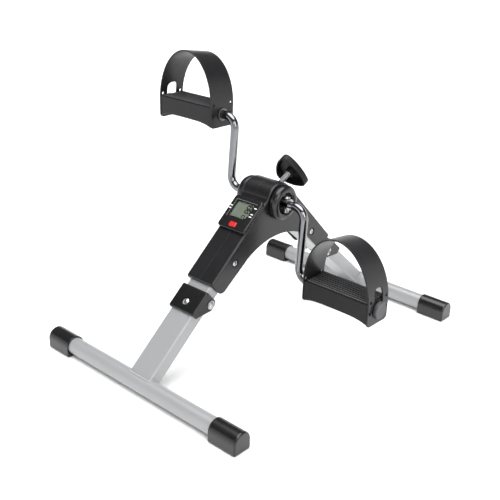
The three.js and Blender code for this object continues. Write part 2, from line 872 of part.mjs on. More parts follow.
place("axle", axleShaft(), "steel", crankset);
place("brake_drum", brakeDrum(), "steel", crankset);
for (const [hand, turn] of [
  ["right", 0],
  ["left", Math.PI],
]) {
  const half = new THREE.Group();
  half.rotation.y = turn;
  crankset.add(half);
  place(`crank_${hand}`, crankRod(), "chrome", half);
  place(`crank_hub_${hand}`, crankHub(), "black", half);
  place(`crank_bolt_${hand}`, crankBolt(), "zinc", half);
  place(`crank_nut_${hand}`, crankNut(), "zinc", half);
  const bearing = place(`axle_bush_${hand}`, bush(), "white");
  bearing.position.copy(axle);
  bearing.rotation.z = turn;
}
place(
  "speed_magnet",
  barX(magnetRadius, hubStart + 0.1, hubStart + 1.6, 0, -magnetAt, 12),
  "steel",
  crankset,
);
place(
  "speed_sensor",
  block(
    [tubeHalf - 3, axle.y - 4, axle.z - magnetAt - 5],
    [housingHalf - housingWall - fit, axle.y + 4, axle.z - magnetAt + 2],
  ),
  "black",
);

// ---------------------------------------------------------------- brake
const brake = groupAt(brakeFrame);
const padStart = drumRadius + brakeTravel;

// Felt pad with a face hollowed to the drum.
function brakePad() {
  return cut(barZ(shoeRadius - 0.3, drumRadius - 2, padStart + padThick), barX(padStart, -20, 20, 0, 0, 48));
}

function brakeShoe() {
  const start = padStart + padThick + fit;
  return barZ(shoeRadius, start, start + shoeLength);
}

const screwTip = padStart + padThick + shoeLength + 2 * fit;

place("brake_pad", brakePad(), "felt", brake);
place("brake_shoe", brakeShoe(), "steel", brake);
place("tension_screw", barZ(screwRadius, screwTip, knobStart + 6, 0, 0, 16), "zinc", brake);

// Three-cornered knob with soft sides, hollow underneath round a central boss.
function knob() {
  const outline = (reach, corner) => {
    const centres = [0, 1, 2].map((k) => {
      const angle = -Math.PI / 2 + (2 * Math.PI * k) / 3;
      const far = reach - corner;
      return new THREE.Vector2(far * Math.cos(angle), far * Math.sin(angle));
    });
    const points = [];
    const bulge = 3;
    centres.forEach((centre, k) => {
      const facing = -Math.PI / 2 + (2 * Math.PI * k) / 3;
      for (let i = -3; i <= 3; i++) {
        const angle = facing + (i / 3) * rad(54);
        points.push(new THREE.Vector2(centre.x + corner * Math.cos(angle), centre.y + corner * Math.sin(angle)));
      }
      const side = facing + Math.PI / 3;
      const next = centres[(k + 1) % 3];
      const middle = centre.clone().add(next).multiplyScalar(0.5);
      const out = corner + bulge;
      points.push(new THREE.Vector2(middle.x + out * Math.cos(side), middle.y + out * Math.sin(side)));
    });
    return new THREE.Shape(points);
  };
  const top = knobStart + knobThick;
  return cut(
    join(
      carriedZ(outline(knobReach, knobCorner), knobStart, top - 2),
      carriedZ(outline(knobReach - 2, knobCorner - 1), top - 3, top),
    ),
    carriedZ(outline(knobReach - 2.5, knobCorner - 2.5), knobStart - 1, top - 3).subtract(
      barZ(7, knobStart - 2, top, 0, 0, 16),
    ),
    barZ(screwRadius + fit, knobStart - 1, knobStart + 6 + fit, 0, 0, 16),
  );
}
place("tension_knob", knob(), "black", brake);

// ---------------------------------------------------------------- pedals
const bodyInner = strapInner + strapThick + fit;
const bodyOuter = strapOuter - strapThick - fit;
const bodyMiddle = (bodyInner + bodyOuter) / 2;
const studAcross = 17.5;
const studLow = -1;

// Pedal body, drawn for the right side about its spindle: ribbed deck, arched walls, a tube for the spindle.
function pedalBody() {
  const outline = (inset, belly) => {
    const reach = (bodyOuter - bodyInner) / 2 - inset;
    const points = [
      [bodyMiddle + reach, deckHeight - inset, inset ? 0 : 1.5],
      [bodyMiddle - reach, deckHeight - inset, inset ? 0 : 1.5],
      [bodyMiddle - reach, -pedalBelow],
    ];
    for (let k = 1; k < 8; k++) {
      const t = -1 + (2 * k) / 8;
      points.push([bodyMiddle + t * reach, -pedalBelow + belly * (1 - t ** 4)]);
    }
    points.push([bodyMiddle + reach, -pedalBelow]);
    return rounded(points, 2);
  };
  const half = pedalDepth / 2;
  const shell = carriedY(outline(0, pedalArch), -half, half);
  const room = carriedY(outline(pedalWall, -20), -half + pedalWall, half - pedalWall);
  const ribs = Array.from({ length: ribCount }, (_, k) => {
    const y = (k - (ribCount - 1) / 2) * ((pedalDepth - 6) / (ribCount - 0.5));
    return block(
      [bodyInner + 3, y - 1.3, deckHeight - 0.5],
      [bodyOuter - 3, y + 1.3, deckHeight + 1.2],
    );
  });
  const spindleTube = barX(rodRadius + 3, bodyInner + 1, bodyOuter - 1, 0, 0, 16);
  const endBoss = barX(rodRadius + 4, bodyOuter - 1, strapOuter + 0.2, 0, 0, 20);
  const studs = [-1, 1].flatMap((sign) => [
    barX(2.2, bodyInner - strapThick - 1.6, bodyInner + 1, sign * studAcross, studLow, 8),
    barX(2.2, bodyOuter - 1, bodyOuter + strapThick + 1.6, sign * studAcross, studLow, 8),
  ]);
  return cut(
    join(shell.subtract(room), ...ribs, spindleTube, endBoss, ...studs),
    barX(rodRadius + fit, 0, 300, 0, 0, 16),
  );
}

// Strap: one band, arched over the foot, whose ends are plates that button onto the pedal's studs.
// strapHeel is 1 when the heel's side is at -Y in the pedal's own frame, and -1 when it is at +Y.
function pedalStrap(strapHeel) {
  const arch = (inset) => {
    const reach = (strapOuter - strapInner) / 2 - inset;
    const rise = strapRise - strapSpring - inset;
    const points = [
      [bodyMiddle - reach, -strapInnerDrop],
      [bodyMiddle + reach, -strapDrop],
    ];
    for (let k = 0; k <= 18; k++) {
      const angle = (Math.PI * k) / 18;
      const x = bodyMiddle + reach * Math.cos(angle) - strapLean * Math.sin(angle);
      points.push([x, strapSpring + rise * Math.sin(angle)]);
    }
    return rounded(points);
  };
  const half = strapWidth / 2;
  // wider towards the heel: the arch's height above its springing falls from one edge to the other
  const taper = (y, z) =>
    z > strapSpring ? strapSpring + (z - strapSpring) * (1 - (strapHeel * strapTaper * y) / half) : z;
  const band = carriedY(arch(0), -half, half, taper).subtract(
    join(
      carriedY(arch(strapThick), -half - 1, half + 1, taper),
      block([strapInner + strapThick, -half - 1, -50], [strapOuter - strapThick, half + 1, 5]),
    ),
  );
  // the two end plates' lower corners are rounded
  const plate = (drop, from, to) =>
    carriedX(
      rounded([
        [-half, -drop, 6],
        [half, -drop, 6],
        [half, 200],
        [-half, 200],
      ]),
      from,
      to,
    );
  const plates = join(plate(strapInnerDrop, 0, bodyMiddle + 1), plate(strapDrop, bodyMiddle, 300));
  const windowHalfWidth = 9.5;
  const windowTop = 30;
  const outerWindow = carriedX(
    rounded([
      [-windowHalfWidth, 0],
      [windowHalfWidth, 0],
      [windowHalfWidth, windowTop, 7.5],
      [-windowHalfWidth, windowTop, 7.5],
    ]),
    bodyMiddle,
    300,
  );
  const holes = [-1, 1].flatMap((sign) => [
    barX(2.2 + fit, 0, 300, sign * studAcross, studLow, 8),
    barX(2.4, 0, 300, sign * studAcross, 15, 8),
  ]);
  return cut(
    band.intersect(plates),
    outerWindow,
    barX(capRadius + 0.6, bodyMiddle, 300, 0, 0, 24),
    barX(rodRadius + 3.4, 0, bodyMiddle, 0, 0, 20),
    ...holes,
  );
}

// Round end cap, domed, over the spindle's end and its retaining washer.
function pedalCap() {
  const start = strapOuter + 0.5;
  return cut(
    turned(
      [
        [0, 0],
        [capRadius, 0],
        [capRadius, capThick - 1.6],
        [capRadius - 1.4, capThick - 0.3],
        [capRadius - 4, capThick],
        [0, capThick],
      ],
      24,
      alongX(start),
    ),
    barX(capRadius - 2, start - 1, start + 2.2, 0, 0, 24),
  );
}

const washer = (start, end, radius) =>
  cut(barX(radius, start, end, 0, 0, 20), barX(rodRadius + fit, 0, 300, 0, 0, 16));

for (const [hand, sign] of [
  ["right", 1],
  ["left", -1],
]) {
  const pedal = new THREE.Group();
  pedal.position.set(
    0,
    axle.y - sign * crankThrow * Math.sin(crankLean),
    axle.z - sign * crankThrow * Math.cos(crankLean),
  );
  pedal.rotation.z = sign > 0 ? 0 : Math.PI;
  exerciser.add(pedal);
  place(`pedal_body_${hand}`, pedalBody(), "satin", pedal);
  place(`pedal_strap_${hand}`, pedalStrap(sign), "strap", pedal);
  place(`pedal_cap_${hand}`, pedalCap(), "satin", pedal);
  place(`spindle_washer_${hand}`, washer(strapInner - 2, strapInner - 0.5, 9.2), "zinc", pedal);
}

export default exerciser;
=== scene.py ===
"""Finished look of a folding pedal exerciser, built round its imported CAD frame.

Sizes inside the classes are in millimetres, and every mesh is written in metres in the frame's own axes:
+X is the user's right hand, +Y points away from the user and +Z is up.
"""
import functools
import logging
import math
from dataclasses import dataclass
from enum import Enum
from typing import Iterable, Sequence, Union

import bmesh
import bpy
import numpy as np
from mathutils import Matrix, Vector


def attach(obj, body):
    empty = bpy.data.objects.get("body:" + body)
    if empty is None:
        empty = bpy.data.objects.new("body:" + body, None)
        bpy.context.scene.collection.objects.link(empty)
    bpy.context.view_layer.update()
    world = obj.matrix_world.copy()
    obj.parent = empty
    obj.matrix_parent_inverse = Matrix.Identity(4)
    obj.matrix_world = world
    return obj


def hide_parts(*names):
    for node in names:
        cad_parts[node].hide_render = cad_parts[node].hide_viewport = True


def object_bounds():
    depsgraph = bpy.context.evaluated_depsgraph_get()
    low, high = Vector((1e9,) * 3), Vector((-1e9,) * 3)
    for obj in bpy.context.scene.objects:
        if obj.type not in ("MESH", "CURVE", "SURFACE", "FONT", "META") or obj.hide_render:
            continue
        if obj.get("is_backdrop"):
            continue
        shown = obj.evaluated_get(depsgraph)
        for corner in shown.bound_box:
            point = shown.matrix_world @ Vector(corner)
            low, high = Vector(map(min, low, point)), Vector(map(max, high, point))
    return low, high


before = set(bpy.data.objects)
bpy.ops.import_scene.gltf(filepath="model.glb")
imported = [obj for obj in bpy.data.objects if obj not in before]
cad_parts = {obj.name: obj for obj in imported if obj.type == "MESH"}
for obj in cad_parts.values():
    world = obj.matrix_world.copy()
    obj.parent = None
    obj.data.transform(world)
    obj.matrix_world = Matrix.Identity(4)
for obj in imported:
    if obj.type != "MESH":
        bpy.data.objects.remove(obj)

log = logging.getLogger("exerciser")
Array = np.ndarray
Soft = Sequence[Union[float, Array]]
MM = 0.001  # metres in a millimetre
FIT = 0.3  # gap between neighbouring pieces
SUPPORT = 0.4  # longest flat kept beside a rounded edge
FAR = 60.0  # past everything that a cut has to clear
X, Y, Z = (1, 0, 0), (0, 1, 0), (0, 0, 1)


# ---------------------------------------------------------------- shader maths
class Signal:
    """A shader socket that takes part in Python expressions, each of which adds Math nodes."""

    def __init__(self, graph: "Graph", socket: bpy.types.NodeSocket) -> None:
        """Keeps the graph that owns the socket."""
        self.graph = graph
        self.socket = socket

    def _math(self, operation: str, other: "Value") -> "Signal":
        """Adds one Math node that takes this signal first."""
        return self.graph.node("ShaderNodeMath", {"operation": operation}, {0: self, 1: other})[0]

    def __add__(self, other: "Value") -> "Signal":
        """Sum."""
        return self._math("ADD", other)

    __radd__ = __add__

    def __mul__(self, other: "Value") -> "Signal":
        """Product."""
        return self._math("MULTIPLY", other)

    __rmul__ = __mul__

    def over(self, edge: float, width: float) -> "Signal":
        """A soft step from 0 to 1.

        Args:
            edge: Value where the step starts.
            width: Distance over which it rises.

        Returns:
            The step, held between 0 and 1.
        """
        settings = {"clamp": True, "interpolation_type": "SMOOTHSTEP"}
        values = {"Value": self, "From Min": edge, "From Max": edge + width}
        return self.graph.node("ShaderNodeMapRange", settings, values)["Result"]


Value = Union[Signal, float]
Colour = tuple[float, float, float]
Stops = tuple[tuple[float, float], ...]


class Outputs:
    """The outputs of one node, read by name or by number as signals."""

    def __init__(self, graph: "Graph", made: bpy.types.Node) -> None:
        """Keeps the node."""
        self.graph = graph
        self.made = made

    def __getitem__(self, key: Union[str, int]) -> Signal:
        """The output with that name or number."""
        return Signal(self.graph, self.made.outputs[key])


class Graph:
    """A node tree that starts empty and gets all its nodes from one method."""

    def __init__(self, tree: bpy.types.NodeTree) -> None:
        """Keeps the tree and empties it."""
        self.tree = tree
        tree.nodes.clear()

    def node(self, kind: str, settings: dict[str, object], values: dict[object, object]) -> Outputs:
        """Adds a node.

        Args:
            kind: Blender's name for the node's type.
            settings: Attributes, or a ramp's grey "stops", set before its sockets are filled.
            values: Numbers, colours or signals for its input sockets, by name or number.

        Returns:
            The node's outputs.
        """
        made = self.tree.nodes.new(kind)
        for key, setting in settings.items():
            if key == "stops":
                self._grade(made.color_ramp, setting)
            else:
                setattr(made, key, setting)
        for key, value in values.items():
            self._fill(made.inputs[key], value)
        return Outputs(self, made)

    def _fill(self, socket: bpy.types.NodeSocket, value: object) -> None:
        """Links a signal to a socket, or sets the socket's own value.

        Args:
            socket: Input socket.
            value: Signal, number, vector or colour.
        """
        if isinstance(value, Signal):
            self.tree.links.new(value.socket, socket)
        elif isinstance(value, tuple) and len(value) == 3 and socket.type == "RGBA":
            socket.default_value = (*value, 1.0)
        else:
            socket.default_value = value

    @staticmethod
    def _grade(ramp: bpy.types.ColorRamp, stops: Stops) -> None:
        """Gives a ramp its grey stops, the first at 0 and the last at 1.

        Args:
            ramp: The node's ramp.
            stops: Position and grey level of each stop, in order.
        """
        for position, _ in stops[1:-1]:
            ramp.elements.new(position)
        for element, (position, level) in zip(ramp.elements, stops):
            element.position, element.color = position, (level, level, level, 1)


class Recipe(Graph):
    """One procedural material: a Principled shader and the patterns that feed it."""

    def __init__(self, name: str) -> None:
        """Starts an empty material of that name.

        Args:
            name: The material's name.
        """
        self.material = bpy.data.materials.new(name)
        self.material.use_nodes = True
        super().__init__(self.material.node_tree)
        self.shader = self.node("ShaderNodeBsdfPrincipled", {}, {})
        self.node("ShaderNodeOutputMaterial", {}, {"Surface": self.shader[0]})
        self.place = self.node("ShaderNodeTexCoord", {}, {})["Object"]

    def turned(self, turn: Sequence[float], stretch: Sequence[float] = (1, 1, 1)) -> Signal:
        """Object coordinates turned and then stretched about the origin."""
        values = {"Vector": self.place, "Rotation": tuple(turn), "Scale": tuple(stretch)}
        return self.node("ShaderNodeMapping", {"vector_type": "POINT"}, values)[0]

    def noise(self, size: float, detail: float = 2.0, where: Signal | None = None) -> Signal:
        """Cloudy pattern between 0 and 1.

        Args:
            size: Width of one cloud in millimetres.
            detail: Number of finer layers.
            where: Coordinates to read instead of the plain object ones.

        Returns:
            The pattern.
        """
        values = {"Vector": where or self.place, "Scale": 1 / (size * MM), "Detail": detail, "Roughness": 0.55}
        return self.node("ShaderNodeTexNoise", {"noise_dimensions": "3D"}, values)["Fac"]

    def grains(self, size: float) -> Signal:
        """Distance to the nearest of many random points, as in a spark-eroded mould."""
        values = {"Vector": self.place, "Scale": 1 / (size * MM)}
        return self.node("ShaderNodeTexVoronoi", {"feature": "F1"}, values)["Distance"]

    def mix(self, amount: Value, low: object, high: object) -> Signal:
        """Blends two colours."""
        return self.node("ShaderNodeMix", {"data_type": "RGBA"}, {0: amount, 6: low, 7: high})[2]

    def bump(self, *layers: tuple[Signal, float]) -> Signal:
        """Stacks bump layers.

        Args:
            layers: Pairs of a height signal and its depth in millimetres.

        Returns:
            The bent normal.
        """
        below: dict[object, object] = {}
        for height, depth in layers:
            values = {"Height": height, "Distance": depth * MM, "Strength": 1.0}
            below = {"Normal": self.node("ShaderNodeBump", {}, values | below)[0]}
        return below["Normal"]

    def dress(self, **sockets: object) -> bpy.types.Material:
        """Fills the shader's sockets, whose names are given with underscores, and returns the material.

        Args:
            sockets: Numbers, colours or signals by socket.

        Returns:
            The material.
        """
        for key, value in sockets.items():
            self._fill(self.shader.made.inputs[key.replace("_", " ")], value)
        return self.material


def shade(colour: Colour, factor: float, lift: float = 0.0) -> Colour:
    """The colour times a factor, plus a lift."""
    return tuple(level * factor + lift for level in colour)


# ---------------------------------------------------------------- finishes
@dataclass(frozen=True)
class PowderCoat:
    """Silver-grey powder coat on steel tube: flow marks, sparkle and a few rubbed patches."""

    colour: Colour = (0.262, 0.264, 0.270)
    roughness: float = 0.34

    def make(self, name: str) -> bpy.types.Material:
        """Builds the material.

        Args:
            name: The material's name.

        Returns:
            The material.
        """
        r = Recipe(name)
        clouds, peel, flake = r.noise(size=60, detail=3), r.noise(size=1.6), r.grains(size=0.5)
        rubbed = r.noise(size=14, detail=4).over(edge=0.62, width=0.12)
        colour = r.mix(clouds, shade(self.colour, 0.9), shade(self.colour, 1.08))
        colour = r.mix(flake.over(edge=0.0, width=0.35) * 0.35, shade(self.colour, 1.2), colour)
        rough = clouds * 0.06 + rubbed * 0.05 + (self.roughness - 0.03)
        normal = r.bump((peel, 0.035), (flake, 0.006))
        return r.dress(Base_Color=colour, Roughness=rough, Metallic=0.15, Normal=normal, Coat_Weight=0.1)


@dataclass(frozen=True)
class Moulded:
    """Injection-moulded plastic: eroded grain, slow tone changes, hairline scuffs and dust in the low spots."""

    colour: Colour
    roughness: float
    grain: float = 0.4
    depth: float = 0.005
    scuff: float = 0.1
    coat: float = 0.0
    specular: float = 0.5

    def make(self, name: str) -> bpy.types.Material:
        """Builds the material.

        Args:
            name: The material's name.

        Returns:
            The material.
        """
        r = Recipe(name)
        clouds, grain = r.noise(size=35, detail=3), r.grains(self.grain)
        along = r.turned((0.3, 0.5, 0.8), (1, 0.05, 1))
        hair = r.noise(size=0.7, detail=1, where=along).over(edge=0.68, width=0.05)
        spots = r.noise(size=9, detail=4).over(edge=0.55, width=0.2)
        scratch = hair * spots
        colour = r.mix(clouds, shade(self.colour, 0.82), shade(self.colour, 1.22, 0.001))
        colour = r.mix(scratch * self.scuff, colour, shade(self.colour, 2.2, 0.02))
        rough = clouds * 0.1 + spots * 0.05 + scratch * 0.1 + (self.roughness - 0.07)
        return r.dress(
            Base_Color=colour,
            Roughness=rough,
            Normal=r.bump((grain, self.depth), (clouds, 0.008)),
            Coat_Weight=self.coat,
            Coat_Roughness=0.12,
            Specular_IOR_Level=self.specular,
        )


@dataclass(frozen=True)
class StrapPlastic:
    """Smooth flexible strap: faint calender lines across the band and a soft waxy sheen."""

    colour: Colour = (0.0075, 0.0075, 0.0085)
    roughness: float = 0.33

    def make(self, name: str) -> bpy.types.Material:
        """Builds the material.

        Args:
            name: The material's name.

        Returns:
            The material.
        """
        r = Recipe(name)
        lines = r.noise(size=0.9, where=r.turned((0, 0, 0), (0.04, 1, 0.04)))
        clouds, speck = r.noise(size=22, detail=3), r.grains(size=1.1)
        colour = r.mix(clouds, shade(self.colour, 0.8), shade(self.colour, 1.3))
        rough = clouds * 0.12 + lines * 0.05 + (self.roughness - 0.08)
        normal = r.bump((lines, 0.02), (speck, 0.004), (clouds, 0.12))
        return r.dress(Base_Color=colour, Roughness=rough, Normal=normal, Sheen_Weight=0.02, Specular_IOR_Level=0.3)


@dataclass(frozen=True)
class Plated:
    """Plated or machined metal: fine draw lines, smudges and a slight change of tint."""

    colour: Colour = (0.215, 0.218, 0.226)
    tint: Colour = (0.155, 0.158, 0.167)
    roughness: float = 0.07
    lines: float = 0.002
    smudge: float = 0.06

    def make(self, name: str) -> bpy.types.Material:
        """Builds the material.

        Args:
            name: The material's name.

        Returns:
            The material.
        """
        r = Recipe(name)
        draw = r.noise(size=0.35, where=r.turned((0, 0, 0), (0.08, 1, 1)))
        clouds, spots = r.noise(size=18, detail=3), r.noise(size=5, detail=4).over(edge=0.56, width=0.15)
        rough = spots * self.smudge + clouds * (self.smudge * 0.5) + self.roughness
        normal = r.bump((draw, self.lines), (r.noise(size=6, detail=1), self.lines * 2))
        return r.dress(Base_Color=r.mix(clouds, self.colour, self.tint), Roughness=rough, Metallic=1.0, Normal=normal)


@dataclass(frozen=True)
class Crystal:
    """Grey-green liquid crystal layer: faint cell rows over a slightly uneven back light."""

    colour: Colour = (0.155, 0.175, 0.14)

    def make(self, name: str) -> bpy.types.Material:
        """Builds the material.

        Args:
            name: The material's name.

        Returns:
            The material.
        """
        r = Recipe(name)
        clouds = r.noise(size=16)
        rows = r.noise(size=0.3, detail=0, where=r.turned((0, 0, 0), (1, 0.02, 1)))
        colour = r.mix(clouds * 0.6 + rows * 0.4, shade(self.colour, 0.9), shade(self.colour, 1.15))
        return r.dress(Base_Color=colour, Roughness=clouds * 0.1 + 0.25, Normal=r.bump((rows, 0.002)))


@dataclass(frozen=True)
class ClearPane:
    """Thin clear window that shows what lies under it."""

    colour: Colour = (0.95, 0.97, 0.95)
    index: float = 1.12

    def make(self, name: str) -> bpy.types.Material:
        """Builds the material.

        Args:
            name: The material's name.

        Returns:
            The material.
        """
        r = Recipe(name)
        haze = r.noise(size=7, detail=3)
        return r.dress(
            Base_Color=self.colour,
            Roughness=haze * 0.04 + 0.03,
            Transmission_Weight=1.0,
            IOR=self.index,
            Normal=r.bump((haze, 0.004)),
        )


@dataclass(frozen=True)
class Felt:
    """Pressed wool: matted fibres and a fuzzy edge light."""

    colour: Colour = (0.16, 0.12, 0.085)

    def make(self, name: str) -> bpy.types.Material:
        """Builds the material.

        Args:
            name: The material's name.

        Returns:
            The material.
        """
        r = Recipe(name)
        fibre = r.noise(size=0.25, detail=4, where=r.turned((0.4, 0.2, 0), (1, 0.2, 1)))
        clump = r.noise(size=1.4, detail=3)
        colour = r.mix(fibre, shade(self.colour, 0.6), shade(self.colour, 1.6))
        normal = r.bump((fibre, 0.15), (clump, 0.2))
        return r.dress(Base_Color=colour, Roughness=clump * 0.1 + 0.85, Normal=normal, Sheen_Weight=0.4)


class Look(Enum):
    """Every finish on the machine, with the record's slot it belongs to."""

    SILVER = ("silver_paint", PowderCoat())
    GLOSS = (
        "black_plastic",
        Moulded((0.007, 0.007, 0.0075), 0.24, grain=0.8, depth=0.003, scuff=0.05, coat=0.15, specular=0.4),
    )
    COVER = ("black_plastic", Moulded((0.006, 0.006, 0.0065), 0.26, depth=0.004, scuff=0.08, specular=0.42))
    MATT = ("black_plastic", Moulded((0.005, 0.005, 0.0055), 0.46, scuff=0.05, specular=0.25))
    SHELL = ("textured_plastic", Moulded((0.0065, 0.0065, 0.0075), 0.32, depth=0.003, scuff=0.08, specular=0.42))
    PEDAL = ("textured_plastic", Moulded((0.006, 0.006, 0.0065), 0.42, specular=0.26))
    # same plastic as the deck, coloured lighter as a painted highlight where the rib tops catch the light
    RIB_HIGHLIGHT = ("textured_plastic", Moulded((0.085, 0.085, 0.09), 0.36, depth=0.002))
    CAP = ("textured_plastic", Moulded((0.040, 0.040, 0.043), 0.46, depth=0.006))
    STRAP = ("strap_plastic", StrapPlastic())
    CHROME = ("chrome", Plated())
    ZINC = ("zinc", Plated((0.52, 0.525, 0.53), (0.42, 0.425, 0.45), roughness=0.26, lines=0.008, smudge=0.1))
    # zinc made rougher and much darker: the darkness is painted shade for the thrust washer deep between crank and
    # pedal
    DULL_SHADED_ZINC = ("zinc", Plated((0.15, 0.152, 0.155), (0.11, 0.112, 0.116), roughness=0.34, lines=0.01, smudge=0.1))
    STEEL = ("steel", Plated((0.42, 0.42, 0.43), (0.34, 0.34, 0.36), roughness=0.32, lines=0.02, smudge=0.12))
    CRYSTAL = ("display", Crystal())
    PANE = ("window", ClearPane())
    RED = ("red_plastic", Moulded((0.50, 0.014, 0.012), 0.3, grain=0.5, scuff=0.05, coat=0.2))
    BOARD = ("green_board", Moulded((0.012, 0.11, 0.035), 0.4, grain=1.2, depth=0.03, scuff=0.2, coat=0.3))
    WHITE = ("white_plastic", Moulded((0.72, 0.71, 0.66), 0.45, grain=0.5, depth=0.01))
    INK = ("black_plastic", Moulded((0.004, 0.005, 0.004), 0.6, depth=0.002, scuff=0.0, specular=0.2))
    PRINT = ("white_plastic", Moulded((0.75, 0.75, 0.74), 0.5, depth=0.002))
    LINE = ("white_plastic", Moulded((0.16, 0.16, 0.165), 0.5, depth=0.002))
    FELT = ("felt", Felt())

    def material(self) -> bpy.types.Material:
        """The look's material, made the first time it is asked for, under a name no CAD material has."""
        name = f"finish_{self.name.lower()}"
        return bpy.data.materials.get(name) or self.value[1].make(name)

    @property
    def slot(self) -> str:
        """The record's material slot."""
        return self.value[0]


# ---------------------------------------------------------------- frames and outlines
@dataclass(frozen=True)
class Axes:
    """A place to build in: an origin and three unit directions, in millimetres."""

    origin: tuple[float, float, float] = (0.0, 0.0, 0.0)
    x: tuple[float, float, float] = (1.0, 0.0, 0.0)
    y: tuple[float, float, float] = (0.0, 1.0, 0.0)
    z: tuple[float, float, float] = (0.0, 0.0, 1.0)

    def at(self, points: Array) -> Array:
        """Moves points: origin plus each coordinate times its direction."""
        return np.asarray(self.origin) + np.asarray(points, float) @ np.array([self.x, self.y, self.z])

    def child(self, origin: Sequence[float], x: Sequence[float], y: Sequence[float], z: Sequence[float]) -> "Axes":
        """A frame given inside this one.

        Args:
            origin: Its origin.
            x: Its X.
            y: Its Y.
            z: Its Z.

        Returns:
            The frame in world terms.
        """
        turn = np.array([self.x, self.y, self.z])
        sides = [tuple(np.asarray(side, float) @ turn) for side in (x, y, z)]
        return Axes(tuple(self.at(np.asarray(origin, float))), *sides)

    def along_x(self, x: float = 0.0, y: float = 0.0, z: float = 0.0, sign: float = 1.0) -> "Axes":
        """A frame whose Z runs along this one's X, or against it for sign -1."""
        return self.child((x, y, z), (0, sign, 0), Z, (sign, 0, 0))

    def moved(self, x: float, y: float, z: float) -> "Axes":
        """A frame shifted along this one's own directions."""
        return self.child((x, y, z), X, Y, Z)

    def turned_x(self, angle: float, origin: Sequence[float] = (0.0, 0.0, 0.0)) -> "Axes":
        """A frame turned about this one's X."""
        c, s = math.cos(angle), math.sin(angle)
        return self.child(origin, X, (0, c, s), (0, -s, c))

    def half_turn(self) -> "Axes":
        """A frame turned half round about this one's Z."""
        return self.child((0, 0, 0), (-1, 0, 0), (0, -1, 0), Z)


WORLD = Axes()


def arc(cx: float, cy: float, radius: float, start: float, end: float, count: int) -> Array:
    """Points on a circle: centre plus radius times cosine and sine of angles from start to end, in radians."""
    angle = np.linspace(start, end, count)
    return np.stack([cx + radius * np.cos(angle), cy + radius * np.sin(angle)], -1)


def rounded(corners: Sequence[Sequence[float]], count: int = 8) -> Array:
    """Outline through corners, each turned on an arc tangent to both of its sides.

    One more point stands on the straight at each side of an arc, so that flat faces keep their own shading.

    Args:
        corners: x, y and radius of each corner, anticlockwise.
        count: Points on each arc.

    Returns:
        The outline's points.
    """
    data = np.array([(*c, 0.0)[:3] for c in corners], float)
    here, radius = data[:, :2], data[:, 2]
    back = np.roll(here, 1, 0) - here
    on = np.roll(here, -1, 0) - here
    ahead = np.linalg.norm(on, axis=1)
    back /= np.linalg.norm(back, axis=1, keepdims=True)
    on /= ahead[:, None]
    half = np.arccos(np.clip((back * on).sum(1), -1, 1)) / 2
    middle = back + on
    middle /= np.maximum(np.linalg.norm(middle, axis=1, keepdims=True), 1e-12)
    centre = here + middle * (radius / np.sin(half))[:, None]
    first = here + back * (radius / np.tan(half))[:, None] - centre
    last = here + on * (radius / np.tan(half))[:, None] - centre
    start = np.arctan2(first[:, 1], first[:, 0])
    sweep = (np.arctan2(last[:, 1], last[:, 0]) - start + np.pi) % (2 * np.pi) - np.pi
    angle = start[:, None] + sweep[:, None] * np.linspace(0, 1, count)
    ring = centre[:, None] + radius[:, None, None] * np.stack([np.cos(angle), np.sin(angle)], -1)
    used = radius / np.tan(half)
    after = np.clip((ahead - used - np.roll(used, -1)) * 0.25, 0, SUPPORT)
    before = np.roll(after, 1)
    ring = np.concatenate(
        [ring[:, :1] + (back * before[:, None])[:, None], ring, ring[:, -1:] + (on * after[:, None])[:, None]], 1
    )
    keep = np.ones(ring.shape[:2], bool)
    keep[before < 1e-3, 0] = False
    keep[after < 1e-3, -1] = False
    keep[radius == 0] = False
    keep[radius == 0, 0] = True
    ring[radius == 0, 0] = here[radius == 0]
    return ring[keep]


def plate_outline(width: float, height: float, radius: float, x: float = 0.0, y: float = 0.0, count: int = 8) -> Array:
    """Rectangle about x, y with rounded corners.

    Args:
        width: Size along the first axis.
        height: Size along the second.
        radius: Corner radius.
        x: Middle along the first axis.
        y: Middle along the second.
        count: Points on each arc.

    Returns:
        Anticlockwise points.
    """
    a, b = width / 2, height / 2
    signs = ((-1, -1), (1, -1), (1, 1), (-1, 1))
    return rounded([(x + i * a, y + j * b, radius) for i, j in signs], count)


def inset(outline: Array, depth: Union[float, Array]) -> Array:
    """Moves an anticlockwise outline inwards: each point goes along the mean of its two sides' normals, by a mitre.

    Args:
        outline: Anticlockwise points.
        depth: Distance, one for all points or one each.

    Returns:
        The moved points.
    """
    side = np.roll(outline, -1, 0) - outline
    side /= np.maximum(np.linalg.norm(side, axis=1, keepdims=True), 1e-12)
    normal = np.stack([-side[:, 1], side[:, 0]], -1)
    before = np.roll(normal, 1, 0)
    mitre = (normal + before) / np.maximum(1 + (normal * before).sum(1, keepdims=True), 0.2)
    return outline + mitre * np.reshape(depth, (-1, 1) if np.ndim(depth) else ())


# ---------------------------------------------------------------- surfaces
@dataclass
class Skin:
    """Vertices and faces of one or more closed surfaces, in millimetres."""

    points: Array
    faces: list[Array]

    def __add__(self, other: "Skin") -> "Skin":
        """Both surfaces in one mesh, each still closed by itself."""
        moved = [f + len(self.points) for f in other.faces]
        return Skin(np.concatenate([self.points, other.points]), self.faces + moved)

    def mesh(self, name: str) -> bpy.types.Mesh:
        """Writes the surfaces into a mesh, with doubles merged and every face turned outwards.

        Args:
            name: The mesh's name.

        Returns:
            The mesh, in metres.
        """
        mesh = bpy.data.meshes.new(name)
        mesh.from_pydata((self.points * MM).tolist(), [], [row for f in self.faces for row in f.tolist()])
        work = bmesh.new()
        work.from_mesh(mesh)
        bmesh.ops.remove_doubles(work, verts=work.verts, dist=2e-6)
        bmesh.ops.recalc_face_normals(work, faces=work.faces)
        work.to_mesh(mesh)
        work.free()
        return mesh


